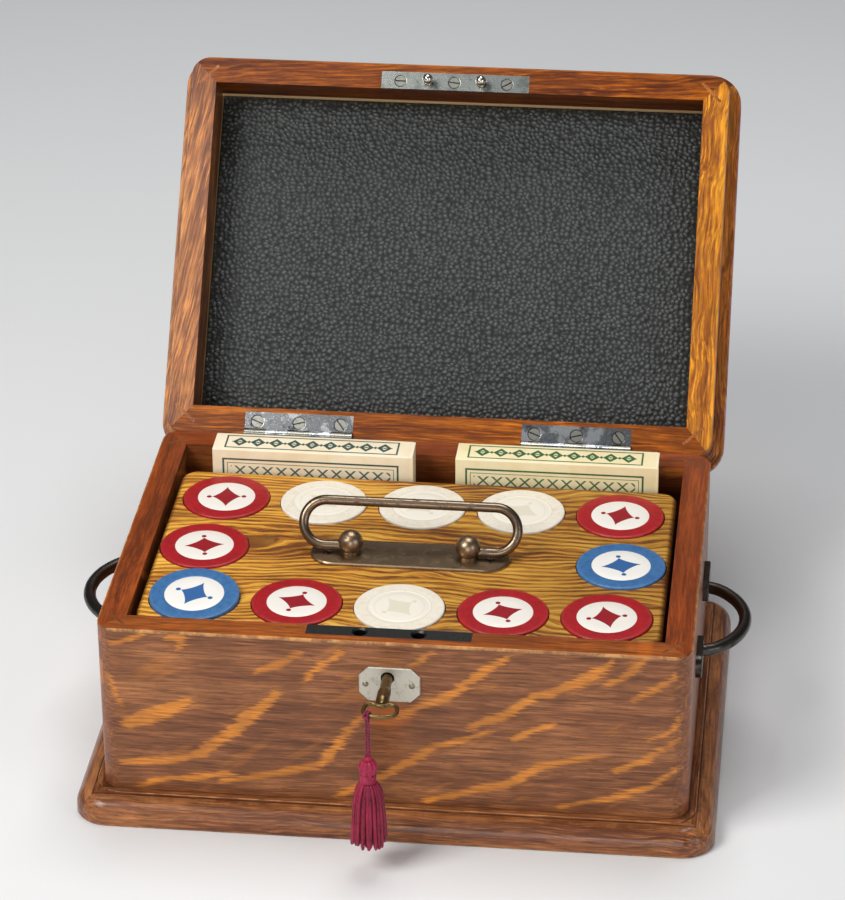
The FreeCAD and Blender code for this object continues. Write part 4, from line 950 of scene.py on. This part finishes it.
# ------------------------------------------------------------------ chips
def chip_material(kind):
    """UV runs from -1 to 1 over a chip's face: a coloured rim, a pale inlay and a card-suit diamond."""
    T = Tree("chip_" + kind)
    uvn = T.t.nodes.new("ShaderNodeUVMap")
    uvn.uv_map = "flat"
    u, v, _ = T.sep(uvn.outputs[0])
    r = T.math("SQRT", T.add(T.mul(u, u), T.mul(v, v)))
    xyz = T.sep(T.coords())
    grime = T.noise(T.scaled(xyz, (0.35, 0.35, 0.35)), 1.0, 5.0, 0.7)
    fine = T.noise(T.scaled(xyz, (1.8, 1.8, 1.8)), 1.0, 3.0, 0.6)
    if kind == "white":
        body, body2 = (240, 232, 216), (230, 219, 198)
        inlay, mark = (241, 234, 219), (228, 219, 198)
    elif kind == "red":
        body, body2 = (174, 14, 26), (146, 8, 20)
        inlay, mark = (240, 234, 224), (150, 14, 30)
    else:
        body, body2 = (60, 114, 166), (46, 94, 146)
        inlay, mark = (240, 236, 230), (46, 98, 156)
    col = T.mix(T.step(grime, 0.35, 0.7), srgb(*body), srgb(*body2))
    # concave diamond, with a small dot beyond each point
    au, av = T.math("ABSOLUTE", u), T.math("ABSOLUTE", v)
    k = T.add(T.math("POWER", T.mul(au, 1 / 0.34), 0.78), T.math("POWER", T.mul(av, 1 / 0.46), 0.78))
    dia = T.step(k, 1.03, 0.97)
    hole = T.step(k, 0.50, 0.56)
    dx = T.math("SUBTRACT", au, 0.40)
    dots = T.step(T.math("SQRT", T.add(T.mul(dx, dx), T.mul(v, v))), 0.062, 0.050)
    motif = T.vmax(T.mul(dia, 1.0), dots)
    face = T.mix(motif, srgb(*inlay), srgb(*mark))
    edge = 0.66 if kind != "white" else 0.70
    inside = T.step(r, edge + 0.006, edge - 0.006)
    col = T.mix(inside, col, face)
    if kind == "white":
        ring = T.mul(T.step(r, 0.52, 0.54), T.step(r, 0.585, 0.565))
        col = T.mix(T.mul(ring, 0.3), col, srgb(224, 214, 190))
        ring = T.mul(T.step(r, 0.68, 0.70), T.step(r, 0.73, 0.71))
        col = T.mix(T.mul(ring, 0.4), col, srgb(214, 202, 176))
    # soot in the fine scratches and paler rubbed rim
    col = T.mix(T.mul(T.step(grime, 0.62, 0.74), 0.16), col, srgb(90, 70, 60))
    rub = T.mul(T.step(r, 0.90, 0.98), T.step(fine, 0.35, 0.7))
    col = T.mix(T.mul(rub, 0.16 if kind != "white" else 0.06), col, srgb(206, 120, 110) if kind == "red" else srgb(150, 176, 210))
    T.set(Base_Color=col)
    T.set(Roughness=T.add(0.26, T.mul(grime, 0.16), T.mul(fine, 0.06)))
    T.b.inputs["Specular IOR Level"].default_value = 0.5
    T.b.inputs["Subsurface Weight"].default_value = 0.05 if kind == "white" else 0.0
    T.b.inputs["Subsurface Radius"].default_value = (0.002, 0.0015, 0.001)
    T.b.inputs["Subsurface Scale"].default_value = 0.5
    h = T.add(T.mul(motif, -0.5 if kind == "white" else -0.12), T.mul(fine, 0.10), T.mul(grime, 0.15),
              T.mul(T.step(r, edge - 0.012, edge), T.step(r, edge + 0.012, edge), -0.6))
    T.set(Normal=T.bump(h, 0.4, 0.00012))
    return T.mat

CHIP_MAT = {k: chip_material(k) for k in ("red", "blue", "white")}
R_CHIP, T_CHIP, N_CHIP, Z_CHIP = 19.7, 3.05, 25, 16.3
PX_, PY_, ROW, MIDX = 44.85, 44.8, -13.8, 92.9
STACKS = {}
TILT = {"front_1": (0.0, 4.2)}      # degrees, raising the chip's far right and far edges
for i, (cb, rb) in enumerate((("red", 0.1), ("white", 0.9), ("white", 2.2), ("white", 1.1), ("red", -0.2))):
    STACKS["back_%d" % (i + 1)] = ((i - 2) * PX_, ROW + PY_, cb, rb)
for i, (cf, rf) in enumerate((("blue", -0.35), ("red", 1.25), ("white", 0.7), ("red", -1.2), ("red", 0.25))):
    STACKS["front_%d" % (i + 1)] = ((i - 2) * PX_, ROW - PY_, cf, rf)
STACKS["middle_1"] = (0.3 - MIDX, ROW, "red", 1.75)
STACKS["middle_2"] = (MIDX, ROW, "blue", -1.35)
for key, (cx, cy, colour, rot) in STACKS.items():
    B = Build()
    for i in range(N_CHIP):
        z0 = Z_CHIP + i * T_CHIP
        z1 = z0 + T_CHIP
        jx, jy = rng.uniform(-0.06, 0.06), rng.uniform(-0.06, 0.06)
        top = i >= N_CHIP - 2
        R = R_CHIP - 0.02
        e = 0.7
        prof = [(0, z0), (R - e, z0)]
        steps = 6 if top else 3
        for k in range(1, steps + 1):
            a = math.pi / 2 * k / steps
            prof.append((R - e + e * math.sin(a), z0 + e * 0.9 * (1 - math.cos(a))))
        for k in range(0, steps + 1):
            a = math.pi / 2 * k / steps
            prof.append((R - e + e * math.cos(a), z1 - e * 0.9 * (1 - math.sin(a))))
        if top:
            q = 0.66 * R
            prof += [(q + 0.9, z1), (q + 0.35, z1 - 0.01), (q + 0.12, z1 - 0.10), (q - 0.12, z1 - 0.10), (q - 0.35, z1 - 0.02), (q * 0.6, z1 - 0.02)]
        prof.append((0, z1 if not top else z1 - 0.02))
        B.lathe(prof, (cx + jx, cy + jy), 96 if top else 40, uvscale=R_CHIP, uvrot=-(rot + (0 if i == N_CHIP - 1 else i * 0.7)))
        if i == N_CHIP - 1 and key in TILT:
            tx, ty = (math.tan(math.radians(t)) for t in TILT[key])
            v = B.v[-1]
            v[:, 2] += (v[:, 0] - cx) * tx + (v[:, 1] - cy) * ty + math.hypot(tx, ty) * R
    ob = B.make("chip_pile_" + key, [CHIP_MAT[colour]], uv=True)
    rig.replaces(ob, "chips_" + key)
    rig.ride(ob, "stack_" + key)
    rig.slot(ob, "chip_" + colour)

# ------------------------------------------------------------------ leather pad of the lid
def leather():
    T = Tree("leather_black")
    xyz = T.sep(T.coords(True))
    n = T.noise(T.scaled(xyz, (1.1, 1.1, 1.1)), 1.0, 4.0, 0.65)
    tint = T.noise(T.scaled(xyz, (0.02, 0.02, 0.02)), 1.0, 3.0)
    crease = T.voronoi(T.scaled(xyz, (0.95, 0.95, 0.95)), 1.0, "DISTANCE_TO_EDGE")
    at = T.t.nodes.new("ShaderNodeAttribute")
    at.attribute_name = "grain"
    grain = at.outputs["Fac"]
    col = T.mix(T.step(tint, 0.3, 0.7), srgb(31, 34, 33), srgb(40, 43, 42))
    # painted shade in the creases between the pebbles
    col = T.mix(T.mul(T.step(grain, 0.46, 0.10), 0.6), col, srgb(8, 9, 9))
    # painted highlight on the pebbles' tops
    col = T.mix(T.mul(T.step(grain, 0.56, 1.05), 0.85), col, srgb(74, 79, 78))
    col = T.mix(T.mul(T.step(n, 0.5, 0.75), 0.35), col, srgb(44, 45, 45))
    T.set(Base_Color=col)
    T.set(Roughness=T.add(0.34, T.mul(n, 0.14), T.mul(T.step(grain, 0.55, 0.15), 0.36)))
    T.b.inputs["Specular IOR Level"].default_value = 0.50
    T.b.inputs["Coat Weight"].default_value = 0.12
    T.b.inputs["Coat Roughness"].default_value = 0.35
    T.set(Normal=T.bump(T.add(T.mul(n, 0.4), T.step(crease, 0.0, 0.25)), 0.35, 0.00018))
    return T.mat

def cells(px, py, size, seed, stretch=1.0):
    """Distances to the nearest and second nearest of a jittered grid of points."""
    r = np.random.RandomState(seed)
    gx, gy = px / size, py / (size * stretch)
    nx, ny = int(gx.max()) + 4, int(gy.max()) + 4
    jx, jy = r.rand(nx + 2, ny + 2), r.rand(nx + 2, ny + 2)
    hh = r.rand(nx + 2, ny + 2)
    ix, iy = gx.astype(int), gy.astype(int)
    f1 = np.full(px.shape, 9.0); f2 = np.full(px.shape, 9.0); hv = np.zeros(px.shape)
    for dx in (-1, 0, 1):
        for dy in (-1, 0, 1):
            cx, cy = ix + dx + 1, iy + dy + 1
            qx = ix + dx + 0.06 + 0.88 * jx[cx, cy]
            qy = iy + dy + 0.06 + 0.88 * jy[cx, cy]
            d = np.hypot((gx - qx) * 1.0, (gy - qy) * 1.0)
            near = d < f1
            f2 = np.where(near, f1, np.minimum(f2, d))
            hv = np.where(near, hh[cx, cy], hv)
            f1 = np.where(near, d, f1)
    return f1, f2, hv

def smooth_noise(px, py, size, seed):
    r = np.random.RandomState(seed)
    gx, gy = px / size, py / size
    n = r.rand(int(gx.max()) + 3, int(gy.max()) + 3)
    ix, iy = gx.astype(int), gy.astype(int)
    fx, fy = gx - ix, gy - iy
    fx, fy = fx * fx * (3 - 2 * fx), fy * fy * (3 - 2 * fy)
    return (n[ix, iy] * (1 - fx) * (1 - fy) + n[ix + 1, iy] * fx * (1 - fy) +
            n[ix, iy + 1] * (1 - fx) * fy + n[ix + 1, iy + 1] * fx * fy)

def make_pad():
    x0, x1, y0, y1 = -115.6, 115.6, -78.6, 77.15       # shut position, mm
    zf, zb = 93.6 + 24.3, 93.6 + 24.3 + 2.1
    stepmm = 0.9 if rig.quick() else 0.5
    nx, ny = int((x1 - x0) / stepmm), int((y1 - y0) / stepmm)
    X, Y = np.meshgrid(np.linspace(x0, x1, nx), np.linspace(y0, y1, ny), indexing="ij")
    px, py = X - x0, Y - y0
    wx = px + 1.5 * (smooth_noise(px, py, 7.0, 1) - 0.5) + 3.0
    wy = py + 1.5 * (smooth_noise(px, py, 7.0, 2) - 0.5) + 3.0
    f1, f2, hv = cells(wx, wy, 2.45, 3, 0.84)
    gap = f2 - f1
    peb = np.clip(gap / 0.50, 0, 1)
    peb = peb * peb * (3 - 2 * peb)
    dome = np.clip(1.08 - 1.5 * f1 * f1, 0.12, 1)
    f1b, f2b, hb = cells(wx + 7, wy + 9, 5.6, 5)
    fold = np.clip((f2b - f1b) / 0.16, 0, 1)
    h = 1.02 * (0.16 + 0.84 * peb) * dome * (0.45 + 0.85 * hv) * (0.78 + 0.22 * fold) + 0.05 * smooth_noise(px, py, 1.1, 7)
    dx = np.minimum(X - x0, x1 - X)
    dy = np.minimum(Y - y0, y1 - Y)
    edge = lambda d, w: 1 - np.exp(-np.clip(d, 0, None) / w)
    crown = edge(dx, 4.0) * edge(dy, 3.6)
    bulge = 0.28 * (smooth_noise(px, py, 34.0, 9) - 0.5) * crown
    z = zb - 0.25 - 1.95 * crown - bulge - h * (0.55 + 0.45 * crown)
    rot = Matrix.Rotation(-OPEN, 3, "X")
    R = np.array(rot)
    H = np.array(HINGE) / MM
    top = np.stack([X, Y, z], -1).reshape(-1, 3)
    # closed back, a coarse plate joined to the rim
    rim = [i * ny for i in range(nx)] + [(nx - 1) * ny + j for j in range(1, ny)] + \
          [i * ny + ny - 1 for i in range(nx - 2, -1, -1)] + [j for j in range(ny - 2, 0, -1)]
    back = top[rim].copy(); back[:, 2] = zb - 0.02
    verts = np.vstack([top, back])
    ii, jj = np.meshgrid(np.arange(nx - 1), np.arange(ny - 1), indexing="ij")
    a = (ii * ny + jj).ravel()
    faces = np.stack([a, a + 1, a + ny + 1, a + ny], 1).tolist()   # faces look down, away from the board
    n0, m = len(top), len(rim)
    for k in range(m):
        k2 = (k + 1) % m
        faces.append([rim[k], rim[k2], n0 + k2, n0 + k])
    faces.append([n0 + k for k in range(m)])
    verts = (verts - H) @ R.T + H
    ob = mesh_object("lid_pebbled_leather", verts * MM, faces, [leather()])
    recalc(ob)
    # the pebbles' height, read by the leather for its painted crease shade and painted highlights
    g = ob.data.attributes.new("grain", "FLOAT", "POINT")
    val = np.zeros(len(ob.data.vertices), dtype=np.float32)
    val[:n0] = (h / 0.80).ravel()
    g.data.foreach_set("value", val)
    return ob

pad = make_pad()
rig.replaces(pad, "lid_leather_pad")
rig.ride(pad, "lid")
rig.slot(pad, "leather")
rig.padded(pad, 0.7)

# ------------------------------------------------------------------ card boxes
def card_material(name, x0, y0, ink, paper):
    """Printed tuck box: border lines, a band of lozenges on the top edge and a trellis panel in front."""
    T = Tree(name)
    P = T.coords()
    X, Y, Z = T.sep(P)
    L, D, Hh = 93.1, 15.7, 65.0
    x, y, z = T.math("SUBTRACT", X, x0), T.math("SUBTRACT", Y, y0), T.math("SUBTRACT", Z, 37.0)
    geo = T.t.nodes.new("ShaderNodeNewGeometry")
    tc = T.t.nodes.new("ShaderNodeTexCoord")
    nx, ny, nz = T.sep(tc.outputs["Normal"])
    top = T.step(nz, 0.6, 0.8)
    front = T.step(T.math("ABSOLUTE", ny), 0.6, 0.8)
    def frame_line(a, b, ca, cb, ha, hb, w):
        qa = T.math("SUBTRACT", T.math("ABSOLUTE", T.math("SUBTRACT", a, ca)), ha)
        qb = T.math("SUBTRACT", T.math("ABSOLUTE", T.math("SUBTRACT", b, cb)), hb)
        return T.step(T.math("ABSOLUTE", T.math("MAXIMUM", qa, qb)), w + 0.12, w - 0.12), T.math("MAXIMUM", qa, qb)
    l1, in1 = frame_line(x, y, 45.5, 7.9, 39.8, 5.6, 0.42)
    # a row of plain lozenges along the middle of the top, large and small in turn
    f = T.math("FRACT", T.mul(T.math("SUBTRACT", x, 45.5 - 4.2), 1 / 8.4))
    cell = T.math("ABSOLUTE", T.math("SUBTRACT", f, 0.5))
    dy = T.math("ABSOLUTE", T.math("SUBTRACT", y, 7.9))
    within = T.step(T.math("ABSOLUTE", T.math("SUBTRACT", x, 45.5)), 37.4, 37.2)
    loz = T.add(T.mul(cell, 8.4 / 3.5), T.mul(dy, 1 / 4.0))
    big = T.mul(T.step(loz, 1.05, 0.97), T.step(loz, 0.40, 0.46))
    pip = T.step(loz, 0.22, 0.16)
    small = T.add(T.mul(T.math("SUBTRACT", 0.5, cell), 8.4 / 1.0), T.mul(dy, 1 / 1.3))
    topart = T.vmax(l1, T.mul(T.vmax(big, pip, T.step(small, 1.05, 0.9), T.step(dy, 0.42, 0.24)), within))
    l2, in2 = frame_line(x, z, 45.5, 30.0, 40.5, 30.0, 0.45)
    l3, in3 = frame_line(x, z, 45.5, 30.0, 38.6, 28.1, 0.15)
    tr = T.math("ABSOLUTE", T.math("SUBTRACT", T.math("FRACT", T.mul(T.add(x, z), 1 / 6.4)), 0.5))
    tl = T.math("ABSOLUTE", T.math("SUBTRACT", T.math("FRACT", T.mul(T.math("SUBTRACT", x, z), 1 / 6.4)), 0.5))
    trellis = T.mul(T.vmax(T.step(tr, 0.105, 0.075), T.step(tl, 0.105, 0.075)), T.step(in3, -1.4, -1.6))
    frontart = T.vmax(l2, l3, T.mul(trellis, 0.95))
    art = T.add(T.mul(top, topart), T.mul(front, frontart))
    n = T.noise(T.scaled((X, Y, Z), (0.9, 0.9, 0.9)), 1.0, 5.0, 0.7)
    stain = T.noise(T.scaled((X, Y, Z), (0.06, 0.06, 0.06)), 1.0, 4.0, 0.6)
    fibre = T.noise(T.scaled((X, Y, Z), (0.6, 6.0, 6.0)), 1.0, 2.0, 0.6)
    col = T.mix(T.step(stain, 0.3, 0.75), srgb(*paper[0]), srgb(*paper[1]))
    col = T.mix(T.mul(T.step(n, 0.55, 0.75), 0.16), col, srgb(204, 170, 130))
    ex = T.vmax(T.math("SUBTRACT", T.math("ABSOLUTE", T.math("SUBTRACT", x, 46.0)), 46.0),
                T.math("SUBTRACT", T.math("ABSOLUTE", T.math("SUBTRACT", y, 7.85)), 7.85))
    edge = T.mul(T.step(T.add(T.math("SUBTRACT", z, 65.0), 0.0), -0.9, -0.2), T.step(ex, -0.9, -0.2))
    col = T.mix(T.mul(edge, 0.5), col, srgb(250, 238, 214))
    worn = T.step(n, 0.66, 0.56)
    col = T.mix(T.mul(art, T.add(0.78, T.mul(worn, 0.2))), col, srgb(*ink))
    T.set(Base_Color=col)
    T.set(Roughness=T.add(0.5, T.mul(n, 0.2)))
    T.set(Normal=T.bump(T.add(T.mul(n, 0.5), T.mul(fibre, 0.3)), 0.2, 0.0001))
    return T.mat

def card_box(name, x0, y0, ink, paper):
    L, D, Hh, z0 = 93.1, 15.7, 65.0, 37.0
    bm = bmesh.new()
    def block(a0, a1, b0, b1, c0, c1, bev, seg=3):
        r = bmesh.ops.create_cube(bm, size=1.0)
        vs = r["verts"]
        for v in vs:
            v.co = Vector(((a0 + a1) / 2 + v.co.x * (a1 - a0), (b0 + b1) / 2 + v.co.y * (b1 - b0), (c0 + c1) / 2 + v.co.z * (c1 - c0)))
        es = list({e for v in vs for e in v.link_edges})
        bmesh.ops.bevel(bm, geom=es, offset=bev, segments=seg, profile=0.6, affect="EDGES")
    t = 0.42
    # sleeve, then the flap folded over the right end and the two tucked ears beside it
    block(x0, x0 + L - 0.9, y0, y0 + D, z0, z0 + Hh, 0.55)
    block(x0 + L - 0.95, x0 + L - 0.95 + t, y0 + 0.55, y0 + D - 1.5, z0 + 0.9, z0 + Hh - 0.5, 0.16, 2)
    block(x0 + L - 1.4, x0 + L - 0.55, y0 + D - 1.25, y0 + D - 0.15, z0 + 6, z0 + Hh - 0.35, 0.2, 2)
    block(x0 + L - 1.4, x0 + L, y0 + 0.02, y0 + 0.45, z0 + 0.3, z0 + Hh - 0.25, 0.15, 2)
    block(x0 + L - 1.4, x0 + L - 0.25, y0 + 0.5, y0 + D - 0.6, z0 + Hh - 0.42, z0 + Hh - 0.02, 0.14, 2)
    # sides would bow out where the cards fill the box, but the bow is set to zero
    for v in bm.verts:
        u = (v.co.x - x0) / L
        w = (v.co.z - z0) / Hh
        if v.co.y < y0 + 0.7:
            v.co.y -= 0.0 * math.sin(math.pi * u) * math.sin(math.pi * w)
    for v in bm.verts:
        v.co *= MM
    me = bpy.data.meshes.new(name)
    bm.to_mesh(me); bm.free()
    me.materials.append(card_material(name + "_print", x0, y0, ink, paper))
    for p in me.polygons:
        p.use_smooth = True
    ob = bpy.data.objects.new(name, me)
    bpy.context.scene.collection.objects.link(ob)
    try:
        with bpy.context.temp_override(object=ob, selected_objects=[ob], active_object=ob):
            bpy.ops.object.shade_auto_smooth(angle=0.6)
    except Exception:
        pass
    return ob

for side, x0, y0, ink, paper in (("left", -100.5, 58.6, (20, 72, 68), ((250, 236, 206), (240, 220, 184))),
                                 ("right", 12.0, 59.6, (22, 92, 46), ((250, 236, 192), (240, 220, 168)))):
    ob = card_box("card_tuck_box_" + side, x0, y0, ink, paper)
    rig.replaces(ob, "deck_%s_box" % side)
    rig.ride(ob, "deck_" + side)
    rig.slot(ob, "card_box")

T = Tree("card_stock")
xyz = T.sep(T.coords())
lay = T.noise(T.scaled(xyz, (0.2, 8.0, 0.2)), 1.0, 1.0)
T.set(Base_Color=T.mix(T.step(lay, 0.4, 0.6), srgb(226, 220, 206), srgb(200, 192, 176)))
T.set(Roughness=T.add(0.5, T.mul(lay, 0.1)))
T.set(Normal=T.bump(lay, 0.3, 0.0001))
MATS["deck_left_cards"] = MATS["deck_right_cards"] = T.mat

# ------------------------------------------------------------------ materials onto the CAD pieces
for node, mat in MATS.items():
    ob = bpy.data.objects.get(node)
    if ob is None:
        print("no object for", node)
        continue
    if len(ob.material_slots) == 0:
        ob.data.materials.append(mat)
    for s in ob.material_slots:
        s.material = mat

# ------------------------------------------------------------------ floor and light
def floor():
    me = bpy.data.meshes.new("floor")
    s = 6.0
    me.from_pydata([(-s, -s, 0), (s, -s, 0), (s, s, 0), (-s, s, 0)], [], [(0, 1, 2, 3)])
    T = Tree("floor_paper")
    n = T.noise(T.scaled(T.sep(T.coords()), (0.01, 0.01, 0.01)), 1.0, 2.0)
    T.set(Base_Color=T.mix(n, (0.82, 0.82, 0.82), (0.80, 0.805, 0.81)))
    T.set(Roughness=0.75)
    me.materials.append(T.mat)
    ob = bpy.data.objects.new("floor", me)
    bpy.context.scene.collection.objects.link(ob)
    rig.stage(ob)

floor()

def area(name, loc, target, size, power, colour=(1, 1, 1), size_y=None):
    d = bpy.data.lights.new(name, "AREA")
    d.energy, d.color = power, colour
    d.shape = "RECTANGLE"
    d.size, d.size_y = size, size_y or size
    o = bpy.data.objects.new(name, d)
    o.location = loc
    o.rotation_euler = (Vector(target) - Vector(loc)).to_track_quat("-Z", "Y").to_euler()
    bpy.context.scene.collection.objects.link(o)

area("key_light", (-0.85, -0.80, 1.30), (0, 0, 0.08), 0.70, 20.0, (1.0, 0.985, 0.96))
area("fill_light", (1.30, -1.0, 0.60), (0, 0, 0.08), 0.8, 5.5, (0.96, 0.98, 1.0))
area("top_light", (0.05, 0.40, 1.45), (0, 0.02, 0.1), 0.7, 9.5)
area("front_light", (0.1, -2.1, 0.55), (0, -0.2, 0.05), 0.9, 9.0)
area("card_wide", (-0.124, -0.93, 1.37), (0, 0.15, 0.2), 0.9, 0.20, size_y=0.5)
area("card_bright", (-0.34, -0.90, 1.37), (-0.065, 0.15, 0.15), 0.10, 0.13, size_y=0.35)
w = bpy.data.worlds.new("studio")
bpy.context.scene.world = w
w.use_nodes = True
w.node_tree.nodes["Background"].inputs[0].default_value = (0.80, 0.88, 1.0, 1)
w.node_tree.nodes["Background"].inputs[1].default_value = 0.10
bpy.context.scene.view_settings.view_transform = "Standard"

json.dump({"cad": [list(map(float, p)) for p in CAD_BOX], "visual": [list(map(float, p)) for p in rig.bounds()]},
          open("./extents.json", "w"))
